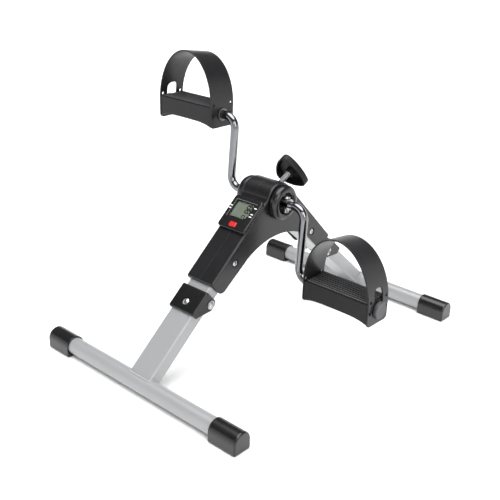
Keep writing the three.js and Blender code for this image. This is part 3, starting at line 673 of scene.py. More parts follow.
def stack(rings: Array, loop: bool = False) -> Skin:
    """Joins a stack of closed rings with four-sided faces.

    Args:
        rings: Array of rings by points by three.
        loop: True joins the last ring to the first; otherwise both ends get a flat cap.

    Returns:
        The closed surface.
    """
    count, sides = rings.shape[:2]
    index = np.arange(count * sides).reshape(count, sides)
    rows = index if loop else index[:-1]
    up = np.roll(index, -1, 0) if loop else index[1:]
    quads = np.stack([rows, np.roll(rows, -1, 1), np.roll(up, -1, 1), up], -1).reshape(-1, 4)
    caps = [] if loop else [index[:1], index[-1:, ::-1]]
    return Skin(rings.reshape(-1, 3), [quads, *caps])


def joined(skins: Iterable[Skin]) -> Skin:
    """Several surfaces in one mesh."""
    return functools.reduce(Skin.__add__, skins)


def levels(rows: Iterable[tuple[Array, float]]) -> Array:
    """Rings made of flat outlines, each at its own height along Z."""
    return np.stack([np.column_stack([flat, np.full(len(flat), height)]) for flat, height in rows])


def lathe(profile: Sequence[Sequence[float]], axes: Axes, sides: int = 48, loop: bool = False) -> Skin:
    """Turned piece: each profile point of radius and height makes a circle about the frame's Z.

    Args:
        profile: Radius and height of each point.
        axes: Frame to build in.
        sides: Points on each circle.
        loop: True closes the profile on itself, for a ring.

    Returns:
        The closed surface.
    """
    data = np.asarray(profile, float)
    angle = np.linspace(0, 2 * np.pi, sides, endpoint=False)
    radius, height = np.maximum(data[:, :1], 1e-4), data[:, 1:2]
    rings = np.stack(np.broadcast_arrays(radius * np.cos(angle), radius * np.sin(angle), height), -1)
    return stack(axes.at(rings), loop)


def drawn(outline: Array, low: float, high: float, axes: Axes, soft: Soft = (0.0, 0.0)) -> Skin:
    """Outline carried along the frame's Z, with both ends' edges rounded.

    A ring at angle t of an edge is moved in by radius times (1 - cos t) and stands radius times (1 - sin t)
    from the end.

    Args:
        outline: Anticlockwise points.
        low: Height of the first end.
        high: Height of the other end.
        axes: Frame to build in.
        soft: Edge radius at each end, a number or one for each point.

    Returns:
        The closed surface.
    """
    turn = np.linspace(0, np.pi / 2, 6)
    size = len(outline)
    first, last = (np.broadcast_to(np.asarray(value, float), (size,)) for value in soft)
    rings = []
    for edge, level, way in ((first, low, 1.0), (last, high, -1.0)):
        end = []
        if edge.max() > 0:
            end.append(np.column_stack([inset(outline, edge + SUPPORT), np.full(size, level)]))
            for t in turn[::-1]:
                flat = inset(outline, edge * (1 - math.cos(t)))
                end.append(np.column_stack([flat, level + way * edge * (1 - math.sin(t))]))
            if high - low > 2 * (edge.max() + SUPPORT):
                end.append(np.column_stack([outline, level + way * (edge + SUPPORT)]))
        else:
            end.append(np.column_stack([outline, np.full(size, level)]))
        rings += end if way > 0 else end[::-1]
    return stack(axes.at(np.stack(rings)))


def carried_x(outline: Array, low: float, high: float, axes: Axes, soft: Soft = (0.0, 0.0)) -> Skin:
    """Y-Z outline carried along the frame's X."""
    return drawn(outline, low, high, axes.child((0, 0, 0), Y, Z, X), soft)


def carried_y(outline: Array, low: float, high: float, axes: Axes, soft: Soft = (0.0, 0.0)) -> Skin:
    """X-Z outline carried along the frame's Y."""
    return drawn(outline, -high, -low, axes.child((0, 0, 0), X, Z, (0, -1, 0)), soft)


def bar(radius: float, low: float, high: float, axes: Axes, sides: int = 32) -> Skin:
    """Plain round bar along the frame's Z, used to cut holes."""
    return lathe([(0, low), (radius, low), (radius, high), (0, high)], axes, sides)


# ---------------------------------------------------------------- pieces
def carve(made: bpy.types.Object, cutters: Iterable[Skin]) -> bpy.types.Object:
    """Cuts shapes out of an object's mesh and leaves no modifier on it.

    Args:
        made: Object to cut.
        cutters: Closed surfaces to take away.

    Returns:
        The same object.
    """
    tools = []
    for number, skin in enumerate(cutters):
        tool = bpy.data.objects.new(f"tool_{number}", skin.mesh(f"tool_{number}"))
        bpy.context.scene.collection.objects.link(tool)
        step = made.modifiers.new(f"cut_{number}", "BOOLEAN")
        step.operation, step.solver, step.object = "DIFFERENCE", "MANIFOLD", tool
        tools.append(tool)
    whole = made.evaluated_get(bpy.context.evaluated_depsgraph_get())
    mesh = bpy.data.meshes.new_from_object(whole)
    made.modifiers.clear()
    made.data = mesh
    for tool in tools:
        bpy.data.objects.remove(tool)
    return made


def piece(
    name: str,
    skin: Skin,
    look: Look,
    body: str,
    replaces: Sequence[str] = (),
    cutters: Sequence[Skin] = (),
    sharp: float = 32.0,
    soften: float = 0.0,
) -> bpy.types.Object:
    """Makes one finished piece and hangs it on its body.

    Args:
        name: Piece name.
        skin: Its surface.
        look: Its finish.
        body: CAD body it moves with.
        replaces: CAD nodes that it stands for.
        cutters: Shapes to cut out of it.
        sharp: Angle in degrees above which an edge stays crisp.
        soften: Width in millimetres of a small bevel on crisp edges, or 0.

    Returns:
        The object, with its place in its mesh.
    """
    made = bpy.data.objects.new(name, skin.mesh(name))
    bpy.context.scene.collection.objects.link(made)
    if cutters:
        carve(made, cutters)
    mesh = made.data
    mesh.polygons.foreach_set("use_smooth", np.ones(len(mesh.polygons), bool))
    mesh.set_sharp_from_angle(angle=math.radians(sharp))
    mesh.materials.clear()
    mesh.materials.append(look.material())
    if soften:
        edge = made.modifiers.new("soften", "BEVEL")
        edge.width, edge.segments, edge.limit_method = soften * MM, 2, "ANGLE"
        edge.angle_limit, edge.harden_normals = math.radians(max(sharp, 30)), True
    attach(made, body)
    if replaces:
        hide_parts(*replaces)
    log.info("%s: %d faces on %s", name, len(mesh.polygons), body)
    return made


@dataclass
class Fastener:
    """Screws, bolts and nuts. The head's seat is at the frame's Z 0 and the shank runs down."""

    head: float
    height: float
    shank: float
    length: float
    cap: float = 1.0
    flange: float = 0.4

    def domed(self, axes: Axes) -> Skin:
        """Turned body with a domed head over a flange: the dome's height falls with the square of the radius.

        Args:
            axes: Frame to build in.

        Returns:
            The closed surface.
        """
        radius, wide = np.linspace(0, 1, 9), self.head * self.cap
        dome = np.column_stack([wide * radius, self.height * (1 - 0.45 * radius**2)])
        lip, end = self.height * self.flange, -self.length
        rest = [(wide, lip + 0.02), (self.head, lip), (self.head, 0), (self.shank, 0), (self.shank, end), (0, end)]
        return lathe(np.concatenate([dome, rest]), axes, 40)

    def cross(self, axes: Axes) -> list[Skin]:
        """Cross recess in the head.

        Args:
            axes: Frame to build in.

        Returns:
            Two crossing bars to cut.
        """
        arm, wide = self.head * 0.55, self.head * 0.12
        low, high = self.height * 0.45, self.height + 1
        return [
            drawn(plate_outline(2 * arm, 2 * wide, wide * 0.6, count=3), low, high, axes),
            drawn(plate_outline(2 * wide, 2 * arm, wide * 0.6, count=3), low, high, axes),
        ]

    def socket(self, axes: Axes) -> list[Skin]:
        """Six-sided recess in the head."""
        return [drawn(arc(0, 0, self.head * 0.42, 0, 5 * math.pi / 3, 6), self.height * 0.35, self.height + 1, axes)]

    @staticmethod
    def nut(across: float, thick: float, hole: float, axes: Axes) -> Skin:
        """Hexagon nut with both faces' edges taken off, turned about the frame's Z.

        Args:
            across: Distance from the middle to a corner.
            thick: Height.
            hole: Radius of the hole.
            axes: Frame to build in.

        Returns:
            The closed surface.
        """
        outer = rounded([(*p, 0.6) for p in arc(0, 0, across, 0, 5 * math.pi / 3, 6)], 4)
        angle = np.arctan2(outer[:, 1], outer[:, 0])
        inner, face = hole * np.column_stack([np.cos(angle), np.sin(angle)]), outer * 0.93
        rows = [(outer, 0.5), (face, 0.0), (inner, 0.0), (inner, thick), (face, thick), (outer, thick - 0.5)]
        return stack(axes.at(levels(rows)), loop=True)


# ---------------------------------------------------------------- layout shared by the sub-assemblies
@dataclass(frozen=True)
class Layout:
    """Where the machine's main axes lie."""

    spacing: float = 469.0
    bar_height: float = 14.2
    slope: float = math.radians(41)
    axle_ahead: float = 6.0
    axle_drop: float = 5.0
    lean: float = math.radians(4.5)
    throw: float = 100.0
    brake: float = math.radians(28)
    console_below: float = 74.2

    @property
    def axle(self) -> tuple[float, float, float]:
        """The axle's middle: the legs' crossing lowered by the drop."""
        height = self.bar_height + self.spacing / 2 * math.tan(self.slope) - self.axle_drop
        return (0.0, self.axle_ahead, height)

    def leg(self, front: bool) -> Axes:
        """Frame of a leg: Y up the tube, Z square to it.

        Args:
            front: True for the leg next to the user.

        Returns:
            The frame, with its origin in the floor bar.
        """
        c, s = math.cos(self.slope), math.sin(self.slope)
        near = Axes((0.0, -self.spacing / 2, self.bar_height), (1, 0, 0), (0, c, s), (0, -s, c))
        return near if front else Axes((0.0, self.spacing / 2, self.bar_height), (-1, 0, 0), (0, -c, s), (0, s, c))

    def cranks(self) -> Axes:
        """Frame of the crankset: the right crank hangs along its -Z."""
        return WORLD.turned_x(-self.lean, self.axle)

    def knob(self) -> Axes:
        """Frame of the brake: Z out from the axle along the knob's axis."""
        return WORLD.turned_x(self.brake - math.pi / 2, self.axle)

    def pedal(self, right: bool) -> Axes:
        """Frame of a pedal about its spindle.

        Args:
            right: True for the right pedal.

        Returns:
            The frame, with X away from the machine's middle.
        """
        sign = 1.0 if right else -1.0
        y = self.axle[1] - sign * self.throw * math.sin(self.lean)
        z = self.axle[2] - sign * self.throw * math.cos(self.lean)
        place = Axes((0.0, y, z))
        return place if right else place.half_turn()

    @property
    def axle_along(self) -> float:
        """The axle's distance up the front leg."""
        y, z = self.axle[1] + self.spacing / 2, self.axle[2] - self.bar_height
        return y * math.cos(self.slope) + z * math.sin(self.slope)

    @property
    def console_start(self) -> float:
        """The distance up the front leg at which the counter starts."""
        return self.axle_along - self.console_below


@dataclass
class Leg:
    """Floor bar, leg tube, hinge bracket and cover, and the two feet."""

    layout: Layout
    front: bool
    bar_radius: float = 12.0
    bar_wall: float = 1.5
    bar_half: float = 178.0
    tube_width: float = 40.0
    tube_depth: float = 20.0
    tube_wall: float = 1.5
    tube_corner: float = 2.6
    tube_end: float = 127.0
    pivot: float = 136.0
    pivot_drop: float = 5.0
    bracket_wall: float = 1.2
    cover_wall: float = 2.0
    cover_start: float = 108.0
    cover_reach: float = 9.5
    screw_along: float = 122.0
    foot_radius: float = 14.2
    foot_inner: float = 139.0
    foot_outer: float = 184.0
    foot_edges: tuple[float, float] = (0.9, 2.6)
    sole_corner: float = 3.2
    tube_sink: float = 1.0
    bracket_start: float = 112.0
    bracket_reach: float = 7.5
    bracket_toe: float = 2.0
    lid_length: float = 31.5
    lid_corner: float = 0.8
    plate_edge: float = 0.3
    ear_corner: float = 2.6
    ear_lead: float = 5.0
    roof_corner: float = 3.0
    cover_toe: float = 3.0
    cover_edge: float = 2.1
    pin: float = 3.0
    screw_seat: float = 6.4
    seat_depth: float = 1.0
    screw_drop: float = 0.9
    screw_hole: float = 2.3
    weld: float = 1.5
    ripple: float = 0.22
    ripple_pitch: float = 2.4

    def __post_init__(self) -> None:
        """Works out the frames and the nested half-widths."""
        self.axes = self.layout.leg(self.front)
        self.side = "front" if self.front else "rear"
        self.body = f"{self.side}_leg"
        self.bracket_in = self.tube_width / 2 + FIT
        self.bracket_out = self.bracket_in + self.bracket_wall
        self.cover_in = self.bracket_out + FIT
        self.cover_out = self.cover_in + self.cover_wall
        self.ceiling = self.tube_depth / 2 + FIT
        self.cover_ceiling = self.ceiling + self.bracket_wall + FIT
        self.roof = self.cover_ceiling + self.cover_wall

    def build(self) -> None:
        """Makes every piece of the leg."""
        self.weldment()
        self.cover()
        self.fasteners()
        for hand in ("left", "right"):
            self.foot(hand)

    def ear(self, start: float, reach: float, roof: float, toe: float) -> Array:
        """Side outline of the bracket and its cover: deep round the pivot, shallow towards the foot.

        Args:
            start: Distance up the leg of its lower end.
            reach: Distance round the pivot.
            roof: Height of its upper edge.
            toe: Height of its lower edge at the start.

        Returns:
            Anticlockwise points.
        """
        end, low = self.pivot + reach, -self.pivot_drop - reach
        return rounded(
            [
                (start, toe, self.ear_corner),
                (self.pivot - self.ear_lead, low, reach * 0.55),
                (end, low, reach * 0.8),
                (end, roof, self.roof_corner),
                (start, roof, self.ear_corner),
            ]
        )

    def weldment(self) -> None:
        """Bar, tube, bracket and weld beads in one painted piece."""
        r, half = self.bar_radius, self.bar_half
        inside, thick = r - self.bar_wall, self.bracket_wall
        wall = [(inside, -half), (r, -half), (r, half), (inside, half)]
        pipe = lathe(wall, WORLD.child(self.axes.origin, Y, Z, X), 72, True)
        outer = plate_outline(self.tube_width, self.tube_depth, self.tube_corner)
        inner = inset(outer, self.tube_wall)
        start = np.sqrt(r**2 - outer[:, 1] ** 2) - self.tube_sink
        rows = [(outer, start), (outer, self.tube_end), (inner, self.tube_end), (inner, start)]
        rings = np.stack([np.column_stack([p[:, 0], np.broadcast_to(s, len(p)), p[:, 1]]) for p, s in rows])
        tube = stack(self.axes.at(rings), loop=True)
        edges = (self.plate_edge, self.plate_edge)
        ear = self.ear(self.bracket_start, self.bracket_reach, self.ceiling + thick, self.bracket_toe)
        plates = [carried_x(ear, x, x + thick, self.axes, edges) for x in (self.bracket_in, -self.bracket_out)]
        middle = self.bracket_start + self.lid_length / 2
        lid = plate_outline(2 * self.bracket_out, self.lid_length, self.lid_corner, 0, middle)
        plates.append(drawn(lid, self.ceiling, self.ceiling + thick, self.axes, edges))
        skin = joined([pipe, tube, *plates, self.bead(outer)])
        piece(f"{self.side}_leg_painted", skin, Look.SILVER, self.body, [f"{self.side}_leg"])

    def bead(self, outer: Array) -> Skin:
        """Weld round the tube's foot: a small circle carried round the line where tube and bar meet.

        The circle's radius swells and shrinks by a sine of the distance along the weld, as fused ripples do.

        Args:
            outer: The tube's outline.

        Returns:
            The closed surface.
        """
        path = inset(outer, -0.3)
        steps = np.linalg.norm(np.roll(path, -1, 0) - path, axis=1)
        where = np.linspace(0, steps.sum(), 220, endpoint=False)
        run = np.concatenate([[0], np.cumsum(steps)])
        loop = np.vstack([path, path[:1]])
        x, n = np.interp(where, run, loop[:, 0]), np.interp(where, run, loop[:, 1])
        s = np.sqrt(np.maximum(self.bar_radius**2 - n**2, 0)) + 0.2
        out = np.column_stack([np.gradient(n), -np.gradient(x)])
        out /= np.linalg.norm(out, axis=1, keepdims=True)
        turn = np.linspace(0, 2 * np.pi, 10, endpoint=False)
        radius = (self.weld + self.ripple * np.sin(where * 2 * np.pi / self.ripple_pitch))[:, None]
        side = radius * np.cos(turn)
        rows = [x[:, None] + side * out[:, :1], s[:, None] + radius * np.sin(turn), n[:, None] + side * out[:, 1:]]
        return stack(self.axes.at(np.stack(rows, -1)), loop=True)

    def cover(self) -> None:
        """Moulded cover over the hinge, with soft edges and a sunk seat for its screw."""
        ear = self.ear(self.cover_start, self.cover_reach, self.roof, self.cover_toe)
        solid = carried_x(ear, -self.cover_out, self.cover_out, self.axes, (self.cover_edge, self.cover_edge))
        seat = self.axes.moved(0, self.screw_along, 0)
        cuts = [
            drawn(plate_outline(2 * self.cover_in, 200, 1.0, 0, 100), -FAR, self.cover_ceiling, self.axes),
            bar(self.pin + FIT, -FAR, FAR, self.axes.along_x(0, self.pivot, -self.pivot_drop)),
            bar(self.screw_seat, self.roof - self.seat_depth, self.roof + 5, seat),
            bar(self.screw_hole, 0, 40, seat),
        ]
        piece(f"{self.side}_cover", solid, Look.COVER, self.body, [f"{self.side}_hinge_cover"], cuts, soften=0.25)

    def fasteners(self) -> None:
        """Cover screw, hinge bolt with its head on the machine's right, and nut."""
        side, body = self.side, self.body
        seat = self.axes.moved(0, self.screw_along, self.roof - self.screw_drop)
        screw = Fastener(head=4.6, height=2.6, shank=2.0, length=8.0)
        piece(f"{side}_seat_screw", screw.domed(seat), Look.ZINC, body, [f"{side}_cover_screw"], screw.cross(seat))
        sign = 1.0 if self.front else -1.0
        face = self.cover_out + FIT
        place = self.axes.along_x(sign * face, self.pivot, -self.pivot_drop, sign)
        bolt = Fastener(head=6.2, height=3.6, shank=self.pin, length=2 * face + 3.6, cap=0.76, flange=0.25)
        piece(f"{side}_pivot_bolt", bolt.domed(place), Look.ZINC, body, [f"{side}_hinge_bolt"], bolt.socket(place))
        back = self.axes.along_x(-sign * face, self.pivot, -self.pivot_drop, -sign)
        nut = Fastener.nut(across=5.4, thick=3.6, hole=self.pin + FIT, axes=back)
        piece(f"{side}_pivot_nut", nut, Look.ZINC, body, [f"{side}_hinge_nut"])

    def foot(self, hand: str) -> None:
        """Plastic foot: round over the bar, flat on the floor, with a soft outer end and a moulded bead inside.

        Args:
            hand: Side, right or left.
        """
        sign = 1.0 if hand == "right" else -1.0
        r, corner = self.foot_radius, self.sole_corner
        top = arc(0, 0, r, 0, math.pi, 40)
        sole = rounded([(-r, -r, corner), (r, -r, corner), (r, 0, 0), (-r, 0, 0)], 6)[:-2]
        place = Axes(self.axes.origin).child((0, 0, 0), (0, sign, 0), Z, (sign, 0, 0))
        solid = drawn(np.concatenate([sole, top]), self.foot_inner, self.foot_outer, place, self.foot_edges)
        hole = bar(self.bar_radius + FIT, 100, self.bar_half + FIT, place, 48)
        name, node = f"{self.side}_{hand}_shoe", f"{self.side}_{hand}_foot"
        piece(name, solid, Look.GLOSS, self.body, [node], [hole], soften=0.3)


@dataclass
class Housing:
    """Two moulded halves over the frame, with a round crown, an arch underneath and four sunk screws."""

    layout: Layout
    half: float = 25.0
    wall: float = 2.5
    end: float = 155.0
    top: float = 15.3
    rear_top: float = 16.2
    below: float = 13.0
    crown: float = 27.0
    arch_drop: float = 49.5
    arch_radius: float = 118.0
    seat_end: float = 53.3
    screw_along: float = 201.0
    crease: float = 2.6
    parting: float = 0.3
    hem: float = 0.7
    arch_spread: float = 0.58
    seat_over: float = 14.0
    end_corner: float = 10.0
    tip_corner: float = 3.4
    room_drop: float = 8.0
    tube_hole: tuple[float, float, float] = (40.6, 20.6, 2.5)
    console_hole: tuple[float, float, float] = (36.0, 44.7, 2.0)
    console_middle: float = 26.35
    screw_seat: float = 5.6
    screw_sink: float = 2.0
    knob_hole: float = 5.0
    axle_hole: float = 9.5

    def outline(self, inward: float = 0.0, drop: float = 0.0) -> tuple[Array, Array]:
        """Side outline: two legs, a crown about the axle and an arch.

        Args:
            inward: Distance that the outline keeps inside the outer one.
            drop: Distance by which its open underside is lowered.

        Returns:
            The points, and the radius of the long edge at each of them.
        """
        _, ay, az = self.layout.axle
        front, rear = self.layout.leg(True), self.layout.leg(False)

        def spot(axes: Axes, along: float, above: float) -> tuple[float, float]:
            """A leg's point as Y and Z."""
            return tuple(axes.at(np.array([0.0, along, above]))[1:])

        end, low = self.end + inward, -self.below - drop
        crown = self.crown - inward
        back = spot(rear, end, self.rear_top - inward)
        reach = math.hypot(back[0] - ay, back[1] - az)
        rear_angle = math.atan2(back[1] - az, back[0] - ay) + math.acos(crown / reach)
        front_angle = math.pi / 2 + self.layout.slope + math.asin(self.seat_over / crown)
        step = spot(front, self.layout.console_start + self.seat_end + inward, self.top - inward)
        spread, height = self.arch_spread, az - self.arch_drop - self.arch_radius - drop
        arch = arc(ay, height, self.arch_radius, math.pi / 2 + spread, math.pi / 2 - spread, 48)
        radius, tip = (0.0, 0.0) if drop else (self.end_corner, self.tip_corner)
        lower = [(*spot(front, end, self.top - inward), tip), (*spot(front, end, low), radius)]
        first = rounded([*lower, (*arch[0], 0), (*step, 0)], 10)[:-2]
        last = rounded([(*arch[-1], 0), (*spot(rear, end, low), radius), (*back, tip), (ay, az + crown, 0)], 10)[1:-1]
        over = arc(ay, az, crown, rear_angle, front_angle, 40)
        points = np.concatenate([first, arch, last, over, np.array([step])])
        under = len(first) + len(arch) + len(last)
        tip_points = len(first) // 2
        soft = np.full(len(points), self.crease)
        soft[: under - tip_points] = self.hem
        soft[:tip_points] = self.crease
        return points, soft

    def build(self) -> None:
        """Makes both halves and their screws."""
        points, soft = self.outline()
        room, _ = self.outline(self.wall, self.room_drop)
        lay = self.layout
        for hand, sign in (("right", 1.0), ("left", -1.0)):
            axes = Axes(x=(sign, 0.0, 0.0))
            solid = carried_x(points, FIT / 2, self.half, axes, (self.parting, soft))
            cuts = [carried_x(room, -1.0, self.half - self.wall, axes)]
            for front, side in ((True, 1.0), (False, -1.0)):
                leg = lay.leg(front)
                tube = plate_outline(*self.tube_hole, count=4)
                cuts.append(drawn(tube, 0, self.end + 20, leg.child((0, 0, 0), X, (0, 0, -1), Y)))
                hole = leg.along_x(0, self.screw_along, 0, sign * side)
                cuts.append(bar(self.screw_seat, self.half - self.screw_sink, FAR, hole))
            slot = plate_outline(*self.console_hole, 0, lay.console_start + self.console_middle)
            cuts += [
                bar(self.knob_hole, 10, 45, lay.knob()),
                bar(self.axle_hole, -FAR, FAR, WORLD.along_x(*lay.axle)),
                drawn(slot, 0, 30, lay.leg(True)),
            ]
            piece(f"shell_{hand}", solid, Look.SHELL, "frame", [f"housing_{hand}"], cuts)
            self.screws(hand, sign)

    def screws(self, hand: str, sign: float) -> None:
        """The half's two screws.

        Args:
            hand: Side, right or left.
            sign: 1 for the right half and -1 for the left.
        """
        for end, front in (("front", True), ("rear", False)):
            y, z = self.layout.leg(front).at(np.array([0, self.screw_along, 0]))[1:]
            place = WORLD.along_x(sign * (self.half - self.screw_sink + FIT), y, z, sign)
            screw = Fastener(head=3.9, height=2.2, shank=1.8, length=6.5)
            node = f"housing_screw_{end}_{hand}"
            piece(f"shell_screw_{end}_{hand}", screw.domed(place), Look.ZINC, "frame", [node], screw.cross(place))


@dataclass
class Console:
    """Counter on the front slope: case, window, liquid crystal with its figures, button and printed marks."""

    layout: Layout
    half: float = 25.3
    length: float = 52.7
    floor: float = 15.6
    top: float = 21.2
    window: float = 15.3
    window_in: float = 19.3
    window_length: float = 25.0
    button_in: float = 7.9
    corner: float = 4.5
    edges: tuple[float, float] = (0.3, 1.7)
    wall: float = 2.0
    roof: float = 1.8
    button_hole: tuple[float, float, float] = (13.4, 9.0, 1.6)
    crystal_lip: float = 2.6
    crystal_drop: float = 2.2
    figure: tuple[float, float, float] = (8.8, 4.9, 1.6)
    baseline: float = 13.2

    def __post_init__(self) -> None:
        """Places the console's frame at its lower edge on the front leg."""
        self.axes = self.layout.leg(True).moved(0, self.layout.console_start, 0)
        self.window_mid = self.window_in + self.window_length / 2

    def build(self) -> None:
        """Makes every piece of the console."""
        wide, middle, top, lip = 2 * self.half, self.length / 2, self.top, self.crystal_lip
        case = plate_outline(wide, self.length, self.corner, 0, middle)
        room = plate_outline(wide - 2 * self.wall, self.length - 2 * self.wall, 2.5, 0, middle)
        view = plate_outline(2 * self.window, self.window_length, 0.8, 0, self.window_mid)
        cuts = [
            drawn(room, 10, top - self.roof, self.axes),
            drawn(view, 10, 40, self.axes),
            drawn(plate_outline(*self.button_hole, 0, self.button_in), 10, 40, self.axes),
        ]
        solid = drawn(case, self.floor, top, self.axes, self.edges)
        piece("counter_case", solid, Look.COVER, "frame", ["console_case"], cuts, soften=0.3)
        glass = plate_outline(2 * self.window - 2 * FIT, self.window_length - 2 * FIT, 0.6, 0, self.window_mid)
        pane = drawn(glass, top - 1.4, top - 0.5, self.axes, (0.1, 0.2))
        piece("counter_pane", pane, Look.PANE, "frame", ["console_window"])
        under = plate_outline(2 * self.window + lip, self.window_length + lip, 0.5, 0, self.window_mid)
        crystal = drawn(under, self.floor + 1.8, top - self.crystal_drop, self.axes, (0.1, 0.1))
        piece("counter_crystal", crystal, Look.CRYSTAL, "frame", ["console_display"])
        self.button()
        self.figures()
        self.marks()

    def button(self) -> None:
        """Push button: a crowned pad whose top rises by a cosine hump, on a wider foot."""
        outline = plate_outline(12.2, 7.6, 1.8, 0, self.button_in)
        pad = drawn(outline, self.floor + 2.7, self.top + 0.9, self.axes, (0.1, 1.1))
        base = drawn(plate_outline(14, 9, 1, 0, self.button_in), self.floor + 2.6, self.floor + 3.1, self.axes)
        piece("counter_button", pad + base, Look.RED, "button", ["console_button"])

    def figures(self) -> None:
        """Seven-bar figures, set on their side along the right edge of the crystal."""
        high, wide, stroke = self.figure
        low = self.top - self.crystal_drop
        bars = {
            "a": (0, high, 0), "g": (0, high / 2, 0), "d": (0, 0, 0),
            "f": (-wide / 2, high * 0.75, 1), "b": (wide / 2, high * 0.75, 1),
            "e": (-wide / 2, high * 0.25, 1), "c": (wide / 2, high * 0.25, 1),
        }
        skins = []
        for shown, along in (("abged", 4.0), ("abcdefg", 13.2), ("abcdefg", 19.8)):
            for key in shown:
                u, v, upright = bars[key]
                size = (high * 0.42, stroke) if upright else (stroke, wide * 0.86)
                # a figure's height runs across the crystal, and its width up the slope
                flat = plate_outline(*size, stroke * 0.3, self.baseline - v, self.window_in + along + u, 3)
                skins.append(drawn(flat, low, low + 0.15, self.axes))
        piece("counter_figures", joined(skins), Look.INK, "frame")

    def printed(self, width: float, height: float, corner: float, x: float, y: float) -> Skin:
        """One printed mark on the case's face, about x, y."""
        flat = plate_outline(width, height, corner, x, y, 3)
        return drawn(flat, self.top - 0.02, self.top + 0.05, self.axes)

    def marks(self) -> None:
        """Printed dashes beside the window and a thin line round its left corner."""
        end = self.window_in + self.window_length
        spots = [(19.4, 4.4), (19.4, 14.3), (19.4, 18.4), (-21.2, 10.0), (-21.2, 14.4)]
        dashes = [self.printed(4.6, 1.5, 0.3, x, end - down) for x, down in spots]
        piece("counter_dashes", joined(dashes), Look.PRINT, "frame")
        line = [self.printed(0.55, 28.5, 0.2, -18.9, self.window_mid), self.printed(37.8, 0.55, 0.2, 0, end + 1.9)]
        piece("counter_line", joined(line), Look.LINE, "frame")


@dataclass
class Crankset:
    """Hubs, bent cranks and their bolts."""

    layout: Layout
    rod: float = 6.0
    bend: float = 17.0
    arm: float = 70.0
    spindle_end: float = 206.0
    tongue: float = 31.0
    bolt_at: float = 36.5
    hub_start: float = 26.4
    hub_width: float = 11.6
    hub_radius: float = 25.0
    recess: float = 14.5
    recess_depth: float = 8.6
    bore: float = 8.3
    flat_end: float = 42.0
    blend_length: float = 9.0
    tongue_half: tuple[float, float] = (7.0, 2.9)
    pin: float = 3.0
    bolt_seat: float = 8.4
    nut_seat: float = 12.2
    washer_at: float = 94.5

    def build(self) -> None:
        """Makes both sides."""
        right = self.layout.cranks()
        left = right.child((0, 0, 0), (-1, 0, 0), Y, (0, 0, -1))
        for hand, axes in (("right", right), ("left", left)):
            hole = bar(self.pin + FIT, -20, 20, axes.moved(self.bolt_at, 0, 0))
            piece(f"rod_{hand}", self.rod_skin(axes), Look.CHROME, "crankset", [f"crank_{hand}"], [hole], sharp=50)
            self.hub(hand, axes)
            self.bolts(hand, axes)
            self.washer(hand, axes)

    def rod_skin(self, axes: Axes) -> Skin:
        """Bent rod: rings square to a path of straight runs and quarter circles, flattened at the hub end.

        Each ring is a superellipse whose power falls from 5, nearly a rectangle, to 2, a circle.

        Args:
            axes: Frame to build in.

        Returns:
            The closed surface.
        """
        b, arm, throw = self.bend, self.arm, self.layout.throw
        turn = np.linspace(0, np.pi / 2, 20)
        start = np.linspace(self.tongue, arm - b, 24)
        level = np.zeros_like(start)
        x = np.concatenate([start, arm - b + b * np.sin(turn[1:]), arm + b * (1 - np.cos(turn)), [self.spindle_end]])
        z = np.concatenate([level, -b * (1 - np.cos(turn[1:])), -throw + b * (1 - np.sin(turn)), [-throw]])
        lean = np.concatenate([level, turn[1:], np.pi / 2 - turn, [0.0]])
        rise = np.clip((x - self.flat_end) / self.blend_length, 0, 1)
        blend = np.clip(rise * (lean == 0) * (x < arm) + (lean > 0) + (x >= arm), 0, 1)
        blend = blend * blend * (3 - 2 * blend)
        wide, high = (flat + (self.rod - flat) * blend for flat in self.tongue_half)
        power = (2 / (5 - 3 * blend))[:, None]
        angle = np.linspace(0, 2 * np.pi, 40, endpoint=False)
        c, s = np.cos(angle), np.sin(angle)
        across = wide[:, None] * np.sign(c) * np.abs(c) ** power
        up = high[:, None] * np.sign(s) * np.abs(s) ** power
        rings = np.stack([x[:, None] + up * np.sin(lean)[:, None], across, z[:, None] + up * np.cos(lean)[:, None]], -1)
        return stack(axes.at(rings))

    def hub(self, hand: str, axes: Axes) -> None:
        """Thick round hub: a ring with a full, soft rim, a shallow groove and a deep recess for the axle's end.

        Args:
            hand: Side, right or left.
            axes: Frame to build in.
        """
        r, w, c = self.hub_radius, self.hub_width, self.recess
        bore, floor = self.bore, w - self.recess_depth
        loop = [
            (bore, 0, 0), (r - 1.2, 0, 0.8), (r, 1.6, 0.8), (r, w - 0.2, 6.5), (c + 2.2, w, 3.0),
            (c + 0.2, w - 2.2, 0.8), (c, floor, 0.8), (bore, floor, 0),
        ]
        skin = lathe(rounded(loop, 9), axes.along_x(self.hub_start), 96, True)
        piece(f"hub_{hand}", skin, Look.GLOSS, "crankset", [f"crank_hub_{hand}"], sharp=40)

    def bolts(self, hand: str, axes: Axes) -> None:
        """Bolt and nut that clamp the crank's tongue in the axle's slot.

        Args:
            hand: Side, right or left.
            axes: Frame to build in.
        """
        top = axes.moved(self.bolt_at, 0, self.bolt_seat)
        bolt = Fastener(head=4.8, height=3.0, shank=self.pin, length=21.0)
        node = f"crank_bolt_{hand}"
        piece(f"clamp_bolt_{hand}", bolt.domed(top), Look.ZINC, "crankset", [node], bolt.socket(top))
        nut = Fastener.nut(5.0, 3.8, self.pin + FIT, axes.moved(self.bolt_at, 0, -self.nut_seat))
        piece(f"clamp_nut_{hand}", nut, Look.ZINC, "crankset", [f"crank_nut_{hand}"])

    def washer(self, hand: str, axes: Axes) -> None:
        """Thrust washer on the spindle, with rounded edges.

        Args:
            hand: Side, right or left.
            axes: Frame to build in.
        """
        place = axes.along_x(self.washer_at, 0, -self.layout.throw)
        loop = rounded([(6.3, 0, 0.2), (9.2, 0, 0.4), (9.2, 1.5, 0.4), (6.3, 1.5, 0.2)], 4)
        node = f"spindle_washer_{hand}"
        # the washer's darkened zinc is painted shade
        piece(f"thrust_washer_{hand}", lathe(loop, place, 48, True), Look.DULL_SHADED_ZINC, "crankset", [node])


